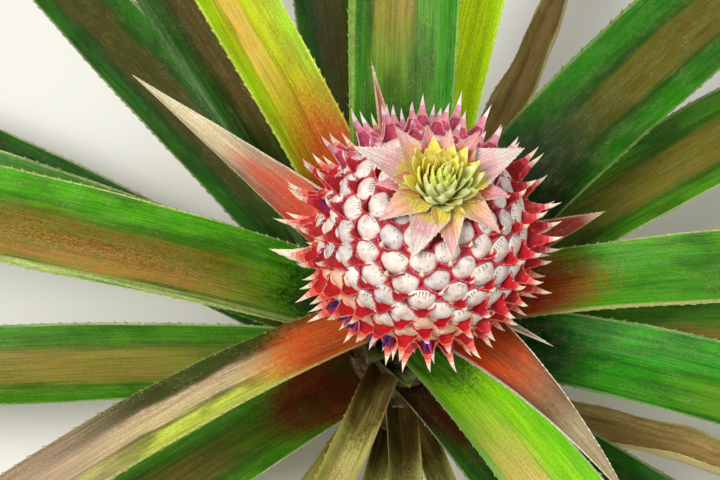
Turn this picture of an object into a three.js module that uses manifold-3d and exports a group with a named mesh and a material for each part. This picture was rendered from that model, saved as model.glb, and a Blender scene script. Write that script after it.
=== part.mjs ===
// A pineapple plant in young fruit: a short stem, a rosette of long channelled leaves,
// red-based leaflets on the fruit stalk, the spiny fruit and its small crown.
// Millimetres, +Z up. The origin is the middle of the stem's flat cut at ground level.
import * as THREE from "three";
import { mergeVertices } from "three/addons/utils/BufferGeometryUtils.js";
import Module from "manifold-3d";

const wasm = await Module();
wasm.setup();

const DEG = Math.PI / 180;
const GOLDEN_ANGLE = 137.508; // degrees from one leaf or eye to the next round the stem
const CLEARANCE = 0.3; // left between any two pieces that meet
const UP = new THREE.Vector3(0, 0, 1);
const outwards = (azimuth) =>
  new THREE.Vector3(Math.cos(azimuth * DEG), Math.sin(azimuth * DEG), 0);

// Stem, from the flat cut at the ground up to the flat top that the stalk stands on
const STEM_HEIGHT = 155;
const STEM_FOOT_RADIUS = 28;
const STEM_WAIST_RADIUS = 22;
const STEM_WAIST_HEIGHT = 14;
const STEM_BELLY_RADIUS = 28;
const STEM_BELLY_HEIGHT = 75;
const STEM_TOP_RADIUS = 15;
const STEM_SIDES = 20;

// Stalk between stem and fruit, which leans the fruit a little to the right
const STALK_BASE_RADIUS = 12;
const STALK_TOP_RADIUS = 10;
const STALK_LENGTH = 34;
const FRUIT_LEAN = 7; // degrees
const LEAN_AZIMUTH = -10; // degrees from +X towards +Y

// Fruit: a ball of eyes, each a rounded berry over a pointed bract
const FRUIT_RADIUS = 47; // over the flesh between the eyes
const FRUIT_HALF_HEIGHT = 46;
const EYE_COUNT = 124;
const EYE_WIDTH = 16.5;
const EYE_PROUD = 4.5; // how far a berry stands out of the flesh
const LOWEST_EYE = -0.86; // as a share of the half height
const HIGHEST_EYE = 0.955;
const BERRY_SUNK = 3; // depth of a berry's middle under the flesh
const BRACT_LENGTH = 15;
const BRACT_THICKNESS = 2.6;
const SEAT_SHARE = 0.97; // flat seats for stalk and crown, as a share of the half height

// Crown: a tight bud of leaflets with spreading ones round it
const CROWN_LEAFLETS = 42;
const CROWN_SEAT_RADIUS = 10.5;
const CROWN_CORE_HEIGHT = 15;
const CROWN_OUTER = { pitch: 8, length: 25, half: 5.4 }; // the lowest leaflets
const CROWN_INNER = { pitch: 84, length: 10, half: 2.4 }; // the topmost

// Blades
const BLADE_SIDES = 6;
const BLADE_STATIONS = 12;
const CLASP_LENGTH = 55; // how soon a leaf bends away from the stem
const CLASP_ANGLE = 22; // how much steeper it starts
const EDGE_FOLD = 38; // degrees that each half of a blade curls up from its midline
const FOOT_FOLD = 26; // more curl at the foot, where a leaf clasps the stem

const LEAN_WAY = outwards(LEAN_AZIMUTH);
const LEAN_AXIS = new THREE.Vector3().crossVectors(UP, LEAN_WAY);

// Radius of the stem at a height
function stemRadius(z) {
  const ease = (t) => t * t * (3 - 2 * t);
  const between = (a, b, t) => a + (b - a) * ease(Math.min(1, Math.max(0, t)));
  if (z < STEM_WAIST_HEIGHT) {
    return between(STEM_FOOT_RADIUS, STEM_WAIST_RADIUS, z / STEM_WAIST_HEIGHT);
  }
  if (z < STEM_BELLY_HEIGHT) {
    const t = (z - STEM_WAIST_HEIGHT) / (STEM_BELLY_HEIGHT - STEM_WAIST_HEIGHT);
    return between(STEM_WAIST_RADIUS, STEM_BELLY_RADIUS, t);
  }
  const t = (z - STEM_BELLY_HEIGHT) / (STEM_HEIGHT - STEM_BELLY_HEIGHT);
  return between(STEM_BELLY_RADIUS, STEM_TOP_RADIUS, t);
}

// Middle of the stalk at a share t of its length, and how far it leans there
function stalkAt(t) {
  const lean = FRUIT_LEAN * t * DEG;
  const side = (STALK_LENGTH * Math.sin(lean) * t) / 2;
  const height = STEM_HEIGHT + CLEARANCE + STALK_LENGTH * t * Math.cos(lean / 2);
  const point = LEAN_WAY.clone().multiplyScalar(side).setZ(height);
  return { point, turn: new THREE.Quaternion().setFromAxisAngle(LEAN_AXIS, lean) };
}

const stalkRadius = (t) =>
  STALK_BASE_RADIUS + (STALK_TOP_RADIUS - STALK_BASE_RADIUS) * t;

// The upper ten leaves of the rosette, each its own, from the innermost down
const SHOWN_LEAVES = [
  { azimuth: 213, length: 430, width: 34, rise: 14, droop: 46, sweep: 4 },
  { azimuth: 123, length: 520, width: 43, rise: 31, droop: 54, sweep: 0 },
  { azimuth: -2, length: 480, width: 43, rise: 21, droop: 49, sweep: -2 },
  { azimuth: 91, length: 690, width: 64, rise: 38, droop: 50, sweep: -14 },
  { azimuth: -57, length: 570, width: 46, rise: 18, droop: 56, sweep: -13 },
  { azimuth: 175.5, length: 660, width: 57, rise: 20, droop: 40, sweep: -8 },
  { azimuth: 78, length: 560, width: 46, rise: 27, droop: 48, sweep: -8 },
  { azimuth: 43, length: 670, width: 66, rise: 24, droop: 58, sweep: -16 },
  { azimuth: -18, length: 640, width: 50, rise: 13, droop: 40, sweep: -7 },
  { azimuth: 127, length: 650, width: 60, rise: 21, droop: 40, sweep: -12 },
];
const SHOWN_TOP = 148; // where the innermost of them leaves the stem
const SHOWN_SPACING = 3.5;

// Older leaves below, by the spiral rule
const LOWER_LEAVES = 22;
const LOWER_TURN = 251; // azimuth of the first
const LOWER_TOP = 111;
const LOWER_BOTTOM = 16;
const LOWER_LENGTH = [640, 430]; // first and last
const LOWER_WIDTH = [56, 46];
const LOWER_RISE = [15, 3];
const LOWER_DROOP = [40, 17];
const LOWER_SWEEP = -6;
const DRY_AGE = 0.8; // share of the way down where the leaves are dead
const DRY_SECTOR = [222, 294]; // in this gap of the rosette they are all dead, and smaller
const DRY_LENGTH_SHARE = 0.6;
const DRY_WIDTH_SHARE = 0.7;

// Leaflets on the fruit stalk, short, red at the foot and drawn out to a fine tip
const STALK_LEAFLETS = [
  { azimuth: 98, length: 104, width: 19, rise: 38, droop: 12, sweep: 6, at: 0.8 },
  { azimuth: 177, length: 62, width: 26, rise: 16, droop: 10, sweep: -12, at: 0.72 },
  { azimuth: -29, length: 73, width: 12, rise: 12, droop: 16, sweep: 0, at: 0.64 },
  { azimuth: 13, length: 101, width: 42, rise: 12, droop: 12, sweep: 12, at: 0.52 },
  { azimuth: 148, length: 169, width: 40, rise: 23, droop: 14, sweep: -6, at: 0.38 },
  { azimuth: -43, length: 150, width: 44, rise: 22, droop: 34, sweep: -12, at: 0.22 },
];

// One of the lower leaves, by its number from the top
function lowerLeaf(i) {
  const age = i / (LOWER_LEAVES - 1);
  const aged = ([first, last]) => first + (last - first) * age;
  const azimuth = (LOWER_TURN + i * GOLDEN_ANGLE) % 360;
  const inGap = azimuth > DRY_SECTOR[0] && azimuth < DRY_SECTOR[1];
  const seat = new THREE.Vector3(0, 0, aged([LOWER_TOP, LOWER_BOTTOM]));
  return {
    azimuth,
    length: aged(LOWER_LENGTH) * (inGap ? DRY_LENGTH_SHARE : 1),
    width: aged(LOWER_WIDTH) * (inGap ? DRY_WIDTH_SHARE : 1),
    rise: aged(LOWER_RISE),
    droop: aged(LOWER_DROOP),
    sweep: LOWER_SWEEP,
    kind: inGap || age > DRY_AGE ? "dry_leaf" : "leaf",
    seat,
    radius: stemRadius(seat.z) + CLEARANCE + 1.5,
  };
}

// Gives each leaf its name, kind and the place where it leaves the stem or stalk
function listLeaves() {
  const leaves = [];
  const name = (prefix, i) => `${prefix}_${String(i + 1).padStart(2, "0")}`;
  STALK_LEAFLETS.forEach((leaf, i) => {
    const seat = stalkAt(leaf.at).point;
    const radius = stalkRadius(leaf.at) + CLEARANCE + 0.5;
    leaves.push({ ...leaf, name: name("stalk_leaflet", i), kind: "leaflet", seat, radius });
  });
  SHOWN_LEAVES.forEach((leaf, i) => {
    const seat = new THREE.Vector3(0, 0, SHOWN_TOP - i * SHOWN_SPACING);
    const radius = stemRadius(seat.z) + CLEARANCE + 1.5;
    leaves.push({ ...leaf, name: name("leaf", i), kind: "leaf", seat, radius });
  });
  for (let i = 0; i < LOWER_LEAVES; i++) {
    const leaf = lowerLeaf(i);
    leaves.push({ ...leaf, name: name("leaf", SHOWN_LEAVES.length + i) });
  }
  return leaves;
}

// The midline: points, and the pitch above the horizon, at even steps along the leaf
function midline(leaf, stations) {
  const fine = 8; // small steps to each station
  const step = leaf.length / stations / fine;
  const clasp = leaf.kind === "leaflet" ? CLASP_LENGTH / 3 : CLASP_LENGTH;
  const point = leaf.seat.clone().addScaledVector(outwards(leaf.azimuth), leaf.radius);
  const places = [];
  for (let i = 0; i <= stations * fine; i++) {
    const s = i / (stations * fine);
    const steeper = CLASP_ANGLE * Math.exp(-(s * leaf.length) / clasp);
    const pitch = (leaf.rise + steeper - leaf.droop * Math.pow(s, 1.4)) * DEG;
    const out = outwards(leaf.azimuth + leaf.sweep * s);
    if (i % fine === 0) places.push({ point: point.clone(), pitch, out });
    point.addScaledVector(out, Math.cos(pitch) * step);
    point.z += Math.sin(pitch) * step;
  }
  return places;
}

// Half the width at a share s of the length: a clasping foot, a slight waist, then a long taper
function halfWidth(leaf, s) {
  const widest = leaf.kind === "leaflet" ? 0.12 : 0.36;
  const foot = leaf.kind === "leaflet" ? 0.85 : 0.88;
  const power = leaf.kind === "leaflet" ? 1.15 : 1.7;
  const share =
    s < widest
      ? foot + (1 - foot) * Math.sin((s / widest) * Math.PI * 0.5) ** 2
      : 1 - Math.pow((s - widest) / (1 - widest), power);
  return (leaf.width / 2) * Math.max(0, share);
}

// Thickness along the midline
function thickness(leaf, s) {
  const full = Math.max(2, leaf.length / 100);
  const foot = Math.min(full, 3.4);
  const grown = foot + (full - foot) * Math.min(1, s / 0.2);
  return grown * Math.min(1, (1 - s) * 2.2 + 0.12);
}

// A point of a blade's section: across runs from -1 to 1 over the width, and face is 1 on the
// upper face, -1 on the lower face and 0 at the tip and at the foot's middle
function sectionPoint(leaf, s, place, across, face, grow) {
  const fold = (EDGE_FOLD + FOOT_FOLD * Math.exp(-(s * leaf.length) / CLASP_LENGTH)) * DEG;
  const curl = (halfWidth(leaf, s) + grow) / fold; // radius of the channel
  const reach = curl - (thickness(leaf, s) / 2 + grow) * face;
  const side = new THREE.Vector3().crossVectors(UP, place.out);
  const normal = UP.clone().multiplyScalar(Math.cos(place.pitch));
  normal.addScaledVector(place.out, -Math.sin(place.pitch));
  const point = place.point.clone();
  point.addScaledVector(side, reach * Math.sin(across * fold));
  return point.addScaledVector(normal, curl - reach * Math.cos(across * fold));
}

// A blade starts as a cone, whose rings are flattened to channelled sections on the midline
function bladeGeometry(leaf, grow = 0) {
  const cone = new THREE.ConeGeometry(1, 1, BLADE_SIDES, BLADE_STATIONS);
  cone.deleteAttribute("normal");
  cone.deleteAttribute("uv");
  const blade = mergeVertices(cone);
  const places = midline(leaf, BLADE_STATIONS);
  const at = blade.getAttribute("position");
  for (let i = 0; i < at.count; i++) {
    const s = at.getY(i) + 0.5;
    const ring = Math.hypot(at.getX(i), at.getZ(i));
    const across = ring > 1e-6 ? at.getZ(i) / ring : 0;
    const above = ring > 1e-6 ? -at.getX(i) / ring : 0;
    const face = Math.abs(above) > 1e-6 ? Math.sign(above) : 0;
    const place = places[Math.round(s * BLADE_STATIONS)];
    const point = sectionPoint(leaf, s, place, across, face, grow);
    at.setXYZ(i, point.x, point.y, point.z);
  }
  return blade;
}

// A three.js geometry as a solid, and back
function solid(geometry) {
  const bare = geometry.clone();
  bare.deleteAttribute("normal");
  bare.deleteAttribute("uv");
  const merged = mergeVertices(bare, 1e-4);
  const vertProperties = new Float32Array(merged.getAttribute("position").array);
  const triVerts = new Uint32Array(merged.index.array);
  const made = new wasm.Manifold(new wasm.Mesh({ numProp: 3, vertProperties, triVerts }));
  if (made.volume() >= 0) return made;
  for (let i = 0; i < triVerts.length; i += 3) {
    [triVerts[i + 1], triVerts[i + 2]] = [triVerts[i + 2], triVerts[i + 1]];
  }
  return new wasm.Manifold(new wasm.Mesh({ numProp: 3, vertProperties, triVerts }));
}

function geometryOf(made) {
  const mesh = made.getMesh();
  const geometry = new THREE.BufferGeometry();
  geometry.setAttribute("position", new THREE.BufferAttribute(mesh.vertProperties, 3));
  geometry.setIndex(new THREE.BufferAttribute(mesh.triVerts, 1));
  return geometry;
}

// The largest of the bodies that a cut leaves
function largest(made) {
  return made.decompose().reduce((a, b) => (b.volume() > a.volume() ? b : a));
}

// A body grown by about the clearance, as the union of copies moved each way
function grownBody(made) {
  const copies = [made];
  for (const axis of [0, 1, 2]) {
    for (const way of [-CLEARANCE, CLEARANCE]) {
      copies.push(made.translate([0, 1, 2].map((k) => (k === axis ? way : 0))));
    }
  }
  return wasm.Manifold.union(copies);
}

const finish = (color, roughness) =>
  new THREE.MeshStandardMaterial({ color, roughness, metalness: 0 });
const FINISHES = {
  stem: finish(0x7a6a4a, 0.9),
  leaf: finish(0x3f6b22, 0.5),
  leaflet: finish(0xb0483a, 0.55),
  dry_leaf: finish(0xa08a58, 0.85),
  stalk: finish(0x9a5a48, 0.7),
  fruit: finish(0xc83a40, 0.55),
  crown: finish(0xb9b560, 0.6),
};

const plant = new THREE.Group();

function addNode(name, geometry, material, parent = plant) {
  const mesh = new THREE.Mesh(geometry, material);
  mesh.name = name;
  parent.add(mesh);
  return mesh;
}

// Stem: turned profile with a flat foot and a flat top
function stemGeometry(grow = 0) {
  const rings = 9;
  const profile = [new THREE.Vector2(0, -grow)];
  for (let i = 0; i <= rings; i++) {
    const z = (STEM_HEIGHT * i) / rings;
    const beyond = i === 0 ? -grow : i === rings ? grow : 0;
    profile.push(new THREE.Vector2(stemRadius(z) + grow, z + beyond));
  }
  profile.push(new THREE.Vector2(0, STEM_HEIGHT + grow));
  return new THREE.LatheGeometry(profile, STEM_SIDES).rotateX(90 * DEG);
}

// Stalk: a cylinder whose rings follow the leaning axis
function stalkGeometry(grow = 0) {
  const rod = new THREE.CylinderGeometry(1, 1, 1, 12, 5);
  rod.deleteAttribute("normal");
  rod.deleteAttribute("uv");
  const stalk = mergeVertices(rod);
  const at = stalk.getAttribute("position");
  for (let i = 0; i < at.count; i++) {
    const t = at.getY(i) + 0.5;
    const { point, turn } = stalkAt(t);
    const ring = new THREE.Vector3(at.getX(i), -at.getZ(i), 0);
    ring.multiplyScalar(stalkRadius(t) + grow).applyQuaternion(turn).add(point);
    at.setXYZ(i, ring.x, ring.y, ring.z);
  }
  return stalk;
}

// A point on the fruit's flesh at a share of its half height, its outward way and its upward way
function fleshAt(share, azimuth) {
  const flat = Math.sqrt(Math.max(0, 1 - share * share));
  const out = new THREE.Vector3(Math.cos(azimuth), Math.sin(azimuth), 0);
  const point = out.clone().multiplyScalar(FRUIT_RADIUS * flat);
  point.z = FRUIT_HALF_HEIGHT * share;
  const normal = out.clone().multiplyScalar(flat / FRUIT_RADIUS);
  normal.z = share / FRUIT_HALF_HEIGHT;
  normal.normalize();
  const side = new THREE.Vector3().crossVectors(UP, out).normalize();
  return { point, normal, side, rise: new THREE.Vector3().crossVectors(normal, side) };
}

// One eye: a rounded berry, and the bract that wraps its foot and ends in a spine turned upwards
function eyeSolid(share, azimuth) {
  const { point, normal, side, rise } = fleshAt(share, azimuth);
  const half = (EYE_WIDTH / 2) * (0.62 + 0.38 * Math.sqrt(1 - share * share));
  const berry = new THREE.SphereGeometry(1, 5, 3);
  const berryFrame = new THREE.Matrix4().makeBasis(
    side.clone().multiplyScalar(half),
    normal.clone().multiplyScalar(EYE_PROUD + BERRY_SUNK),
    rise.clone().multiplyScalar(-half * 0.95),
  );
  berryFrame.setPosition(point.clone().addScaledVector(normal, -BERRY_SUNK));
  const length = BRACT_LENGTH * (share > 0.7 ? 0.7 : 1); // shorter next to the crown
  const tip = normal.clone().addScaledVector(rise, 0.15 + 0.3 * share).multiplyScalar(length);
  const bract = new THREE.ConeGeometry(1, 1, 3, 1);
  bract.translate(0, 0.5, 0);
  const bractFrame = new THREE.Matrix4().makeBasis(
    side.clone().multiplyScalar(half * 0.8),
    tip,
    new THREE.Vector3().crossVectors(side, tip).setLength(BRACT_THICKNESS),
  );
  const foot = point.clone().addScaledVector(rise, -half * 0.72);
  bractFrame.setPosition(foot.addScaledVector(normal, -2));
  return solid(berry.applyMatrix4(berryFrame)).add(solid(bract.applyMatrix4(bractFrame)));
}

// Fruit: the flesh turned as a lathe profile with flat seats for stalk and crown, and its eyes
function makeFruit() {
  const rings = 9;
  const seat = FRUIT_HALF_HEIGHT * SEAT_SHARE;
  const profile = [new THREE.Vector2(0, -seat)];
  for (let i = 0; i <= rings; i++) {
    const angle = Math.asin(SEAT_SHARE) * ((2 * i) / rings - 1);
    const across = FRUIT_RADIUS * Math.cos(angle);
    profile.push(new THREE.Vector2(across, FRUIT_HALF_HEIGHT * Math.sin(angle)));
  }
  profile.push(new THREE.Vector2(0, seat));
  const flesh = new THREE.LatheGeometry(profile, 24);
  flesh.rotateX(90 * DEG);
  const eyes = [];
  for (let i = 0; i < EYE_COUNT; i++) {
    const share = LOWEST_EYE + ((HIGHEST_EYE - LOWEST_EYE) * (i + 0.5)) / EYE_COUNT;
    eyes.push(eyeSolid(share, i * GOLDEN_ANGLE * DEG));
  }
  return largest(wasm.Manifold.union([solid(flesh), ...eyes]));
}

// One leaflet of the crown, by its turn number: 0 is the lowest and the last is the topmost
function crownLeaflet(i) {
  const inner = i / (CROWN_LEAFLETS - 1);
  const aged = (key) => CROWN_OUTER[key] + (CROWN_INNER[key] - CROWN_OUTER[key]) * inner;
  const out = outwards(i * GOLDEN_ANGLE);
  const along = out.clone().multiplyScalar(Math.cos(aged("pitch") * DEG));
  along.z = Math.sin(aged("pitch") * DEG);
  const side = new THREE.Vector3().crossVectors(UP, out);
  const leaflet = new THREE.ConeGeometry(1, 1, 4, 1);
  leaflet.translate(0, 0.5, 0);
  const place = new THREE.Matrix4().makeBasis(
    side.clone().multiplyScalar(aged("half")),
    along.clone().multiplyScalar(aged("length")),
    new THREE.Vector3().crossVectors(side, along).multiplyScalar(1.4),
  );
  const foot = out.clone().multiplyScalar(CROWN_SEAT_RADIUS * 0.8 * Math.cos(inner * 90 * DEG));
  foot.z = 1.2 + (CROWN_CORE_HEIGHT - 3) * inner;
  return solid(leaflet.applyMatrix4(place.setPosition(foot)));
}

// Crown: a domed core with its leaflets, upright in the middle and spreading outside
function makeCrown() {
  const profile = [new THREE.Vector2(0, 0)];
  for (let angle = 0; angle <= 90; angle += 18) {
    const across = CROWN_SEAT_RADIUS * Math.cos(angle * DEG);
    profile.push(new THREE.Vector2(across, CROWN_CORE_HEIGHT * Math.sin(angle * DEG)));
  }
  const core = new THREE.LatheGeometry(profile, 10);
  core.rotateX(90 * DEG);
  const leaflets = [];
  for (let i = 0; i < CROWN_LEAFLETS; i++) leaflets.push(crownLeaflet(i));
  return largest(wasm.Manifold.union([solid(core), ...leaflets]));
}

addNode("stem", geometryOf(solid(stemGeometry())), FINISHES.stem);
addNode("fruit_stalk", geometryOf(solid(stalkGeometry())), FINISHES.stalk);

const head = new THREE.Group(); // stands on the stalk's top and leans with it
head.position.copy(stalkAt(1).point);
head.quaternion.copy(stalkAt(1).turn);
plant.add(head);

const fruitGroup = new THREE.Group();
fruitGroup.position.z = FRUIT_HALF_HEIGHT * SEAT_SHARE + CLEARANCE;
head.add(fruitGroup);
const fruit = makeFruit();
addNode("fruit", geometryOf(fruit), FINISHES.fruit, fruitGroup);

const crownGroup = new THREE.Group();
crownGroup.position.z = fruitGroup.position.z + FRUIT_HALF_HEIGHT * SEAT_SHARE + CLEARANCE;
head.add(crownGroup);
const raised = crownGroup.position.z - fruitGroup.position.z;
const grownFruit = grownBody(fruit);
const crown = largest(makeCrown().translate([0, 0, raised]).subtract(grownFruit));
addNode("crown", geometryOf(crown.translate([0, 0, -raised])), FINISHES.crown, crownGroup);

// Leaves, from the top down: each is cut clear of what it would touch above it or inside it
plant.updateMatrixWorld(true);
const others = [
  solid(stemGeometry(CLEARANCE)),
  solid(stalkGeometry(CLEARANCE)),
  grownFruit.transform(fruitGroup.matrixWorld.elements),
];
for (const leaf of listLeaves()) {
  let made = solid(bladeGeometry(leaf));
  for (const other of others) {
    if (made.intersect(other).volume() > 0) made = largest(made.subtract(other));
  }
  others.push(solid(bladeGeometry(leaf, CLEARANCE)));
  addNode(leaf.name, geometryOf(made), FINISHES[leaf.kind]);
}

export default plant;
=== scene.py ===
# %% [markdown]
# # A pineapple plant in young fruit
# The CAD part holds plain solids: a stem, a stalk, the fruit, its crown and one blade for
# each leaf. This lesson dresses them. Each blade is grown again by the source's own rule,
# with a finer surface, thin thorny margins and colours that follow the leaf. The frame comes
# first, because every piece has to stay where the CAD says.

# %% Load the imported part
import math
import random

import bmesh
import bpy
from mathutils import Matrix, Quaternion, Vector, noise


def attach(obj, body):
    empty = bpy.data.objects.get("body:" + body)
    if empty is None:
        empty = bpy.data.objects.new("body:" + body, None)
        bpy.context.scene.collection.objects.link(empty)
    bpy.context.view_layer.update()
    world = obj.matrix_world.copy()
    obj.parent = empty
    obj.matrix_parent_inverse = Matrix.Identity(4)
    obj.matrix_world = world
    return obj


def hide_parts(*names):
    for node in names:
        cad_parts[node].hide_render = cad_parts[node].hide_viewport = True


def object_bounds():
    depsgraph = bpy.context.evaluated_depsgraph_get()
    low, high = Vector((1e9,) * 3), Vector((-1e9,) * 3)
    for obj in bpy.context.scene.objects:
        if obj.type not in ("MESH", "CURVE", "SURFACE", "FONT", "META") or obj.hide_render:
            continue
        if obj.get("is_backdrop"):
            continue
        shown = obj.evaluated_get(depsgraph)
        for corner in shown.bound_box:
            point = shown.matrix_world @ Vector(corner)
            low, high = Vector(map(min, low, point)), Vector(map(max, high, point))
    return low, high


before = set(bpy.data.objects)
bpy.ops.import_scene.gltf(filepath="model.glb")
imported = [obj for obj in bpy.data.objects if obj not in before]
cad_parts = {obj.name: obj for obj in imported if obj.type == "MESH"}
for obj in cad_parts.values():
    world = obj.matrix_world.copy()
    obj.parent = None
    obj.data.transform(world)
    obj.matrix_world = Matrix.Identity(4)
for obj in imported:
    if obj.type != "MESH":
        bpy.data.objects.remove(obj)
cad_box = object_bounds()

MM = 0.001  # Blender works in metres, and the source's sizes are in millimetres
UP = Vector((0, 0, 1))
print("the CAD box is", [[round(c, 3) for c in corner] for corner in cad_box])

# %% [markdown]
# ## The camera
# The picture was taken from above and in front, close to the fruit: the leaves run out of
# the frame on all sides. A real camera at that distance gives the same perspective, so the
# near leaves grow wide towards the edges of the picture. A sketch of the solids laid over
# the picture gave the height angle and the aim.

# %% Camera
CAMERA_RISE = math.radians(62.5)
CAMERA_DISTANCE = 0.60
CAMERA_AIM = Vector((-0.0218, -0.0078, 0.2417))
HALF_VIEW = 0.1675  # metres to the left and right edge at the aim

camera_data = bpy.data.cameras.new("camera")
camera = bpy.data.objects.new("camera", camera_data)
bpy.context.scene.collection.objects.link(camera)
backwards = Vector((0, -math.cos(CAMERA_RISE), math.sin(CAMERA_RISE)))
camera.location = CAMERA_AIM + backwards * CAMERA_DISTANCE
camera.rotation_mode = "QUATERNION"
camera.rotation_quaternion = (-backwards).to_track_quat("-Z", "Y")
camera_data.sensor_width = 36
camera_data.lens = camera_data.sensor_width / 2 * CAMERA_DISTANCE / HALF_VIEW
camera_data.clip_start = 0.01
bpy.context.scene.camera = camera
print("the lens is", round(camera_data.lens, 1), "mm")

# %% [markdown]
# ## Helpers for material nodes
# A material is a small graph. Adding each node by hand takes four lines, so a few short
# helpers add a node, feed its inputs with numbers or with other nodes' outputs, and hand
# back one output. Colours are written as the hexadecimal values that a painter would
# pick on the screen, and turned into the linear values that Blender mixes.


# %% Node helpers
def paint(code):
    channels = [int(code[i : i + 2], 16) / 255 for i in (1, 3, 5)]
    return (*[c / 12.92 if c < 0.04045 else ((c + 0.055) / 1.055) ** 2.4 for c in channels], 1)


def feed(tree, socket, value):
    if isinstance(value, bpy.types.NodeSocket):
        tree.links.new(value, socket)
    else:
        socket.default_value = value


def add(tree, kind, inputs, out=0, **settings):
    made = tree.nodes.new("ShaderNode" + kind)
    for key, value in settings.items():
        setattr(made, key, value)
    for key, value in inputs.items():
        feed(tree, made.inputs[key], value)
    return made.outputs[out]


def mix(tree, share, a, b, mode="MIX"):
    return add(tree, "Mix", {0: share, 6: a, 7: b}, 2, data_type="RGBA", blend_type=mode)


def ramp(tree, value, low, high, start=0.0, end=1.0):
    inputs = {"Value": value, "From Min": low, "From Max": high, "To Min": start, "To Max": end}
    return add(tree, "MapRange", inputs, interpolation_type="SMOOTHSTEP")


def grain(tree, vector, scale=1.0, detail=2.0, rough=0.5):
    inputs = {"Vector": vector, "Scale": scale, "Detail": detail, "Roughness": rough}
    return add(tree, "TexNoise", inputs)


def stretch(tree, vector, *scale):
    return add(tree, "Mapping", {"Vector": vector, "Scale": scale})


print("a middle green is mixed as", [round(c, 3) for c in paint("#3d7a1c")])


# %% Sums with nodes
def calc(tree, operation, a, b=0.0, clamp=False):
    return add(tree, "Math", {0: a, 1: b}, operation=operation, use_clamp=clamp)


def plus(tree, a, b, clamp=False):
    return calc(tree, "ADD", a, b, clamp)


def minus(tree, a, b):
    return calc(tree, "SUBTRACT", a, b)


def times(tree, first, *others):
    for other in others:
        first = calc(tree, "MULTIPLY", first, other)
    return first


def over(tree, a, b):
    return calc(tree, "DIVIDE", a, b)


def bare(tree, a):
    """The number without its sign."""
    return calc(tree, "ABSOLUTE", a)


# %% [markdown]
# Two node groups paint this plant, one for leaves and one for everything fleshy. Both give
# a colour, a roughness and a height for the bump, so one helper builds either group's
# sockets, and one makes a material round a group. In a table of values, text is a colour.


# %% Groups and materials
def plain(value):
    return paint(value) if isinstance(value, str) else value


def new_group(name, inputs):
    tree = bpy.data.node_groups.new(name, "ShaderNodeTree")
    for title, value in inputs.items():
        kind = "NodeSocketColor" if isinstance(value, str) else "NodeSocketFloat"
        socket = tree.interface.new_socket(name=title, in_out="INPUT", socket_type=kind)
        socket.default_value = plain(value)
    for title, kind in (("Color", "Color"), ("Roughness", "Float"), ("Height", "Float")):
        tree.interface.new_socket(name=title, in_out="OUTPUT", socket_type="NodeSocket" + kind)
    given = tree.nodes.new("NodeGroupInput").outputs
    wanted = tree.nodes.new("NodeGroupOutput").inputs
    return tree, given, wanted


def new_material(name):
    material = bpy.data.materials.new(name)
    material.use_nodes = True
    tree = material.node_tree
    return material, tree, tree.nodes["Principled BSDF"].inputs


def set_bump(tree, shader, height, depth, strength=1.0):
    bump = {"Height": height, "Distance": depth * MM, "Strength": strength}
    feed(tree, shader["Normal"], add(tree, "Bump", bump))


def group_material(name, group, values, bump_depth, bump_strength):
    material, tree, shader = new_material(name)
    made = tree.nodes.new("ShaderNodeGroup")
    made.node_tree = group
    for key, value in values.items():
        made.inputs[key].default_value = plain(value)
    feed(tree, shader["Base Color"], made.outputs["Color"])
    feed(tree, shader["Roughness"], made.outputs["Roughness"])
    set_bump(tree, shader, made.outputs["Height"], bump_depth, bump_strength)
    return material, shader


# %% [markdown]
# ## The skin of a leaf
# A pineapple leaf is not one green. Its margins are green, a reddish-brown stripe runs up
# the channel, the foot is brick red, the rims are pale where the silvery underside rolls
# up, and a mealy scurf lies over it in clusters. All of that follows the leaf and not the
# room, so each blade carries three attributes: how far *along* the leaf a point is, how far
# *across*, and whether it is on the *under* side. One node group paints from these, and
# every leaf gives it its own colours.

# %% Leaf skin, its inputs
LEAF_LAYERS = ("along", "across", "under")
# Foot is the colour at a leaf's foot: its red, and on the green shown leaves a dark green that is
# painted shade under the fruit.
skin, given, wanted = new_group("Leaf skin", {
    "Seed": 0.0, "Green": "#3d7a1c", "Edge Green": "#4f8f22", "Edge Shift": 0.0,
    "Shade": "#27500f", "Stripe": "#7a5226", "Rust": "#a8743c", "Stripe Amount": 0.7,
    "Stripe Centre": 0.0, "Stripe Width": 0.5, "Stripe Start": 0.1, "Stripe Lean": 0.0,
    "Foot": "#8a3416", "Foot Reach": 0.12, "Foot Centre": 0.0, "Tip": "#8a7440",
    "Tip Start": 0.86, "Rim": "#c3c9a4", "Left Rim": 0.06, "Right Rim": 0.06,
    "Rim Cover": 0.0, "Fleck": "#d6d3a4", "Fleck Amount": 0.5, "Back": "#9fae92",
})
along, across, under = [
    add(skin, "Attribute", {}, 2, attribute_name=name) for name in LEAF_LAYERS
]
print("a leaf's look has up to", len(given) - 1, "values")

# %% [markdown]
# Noise breaks up every border. It is read from the leaf's own UV map, moved by a seed so
# that no two leaves match, and squeezed across the leaf, because all its marks are long.

# %% Leaf skin, its noises
seed = add(skin, "CombineXYZ", {"X": given["Seed"], "Z": given["Seed"]})
flat = add(skin, "UVMap", {}, uv_map="leaf")
flat = add(skin, "VectorMath", {0: flat, 1: seed}, operation="ADD")
patches = grain(skin, stretch(skin, flat, 3, 7, 1), detail=4, rough=0.55)
streaks = grain(skin, stretch(skin, flat, 1.6, 34, 1), detail=4, rough=0.6)
fibres = grain(skin, stretch(skin, flat, 3, 150, 1), detail=2)
mottle = grain(skin, stretch(skin, flat, 45, 60, 1), detail=4, rough=0.7)
grains = grain(skin, stretch(skin, flat, 70, 190, 1), detail=2, rough=0.7)
print("with its noises, the leaf skin has", len(skin.nodes), "nodes")

# %% Leaf skin, its greens
from_middle = bare(skin, minus(skin, across, given["Edge Shift"]))
colour = mix(skin, ramp(skin, from_middle, 0.35, 0.9), given["Green"], given["Edge Green"])
for noisy, low, high, depth in ((patches, 0.42, 0.68, 0.65), (streaks, 0.5, 0.7, 0.45)):
    dark = times(skin, ramp(skin, noisy, low, high), depth)
    colour = mix(skin, dark, colour, given["Shade"])
print("with its greens, the leaf skin has", len(skin.nodes), "nodes")

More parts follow.
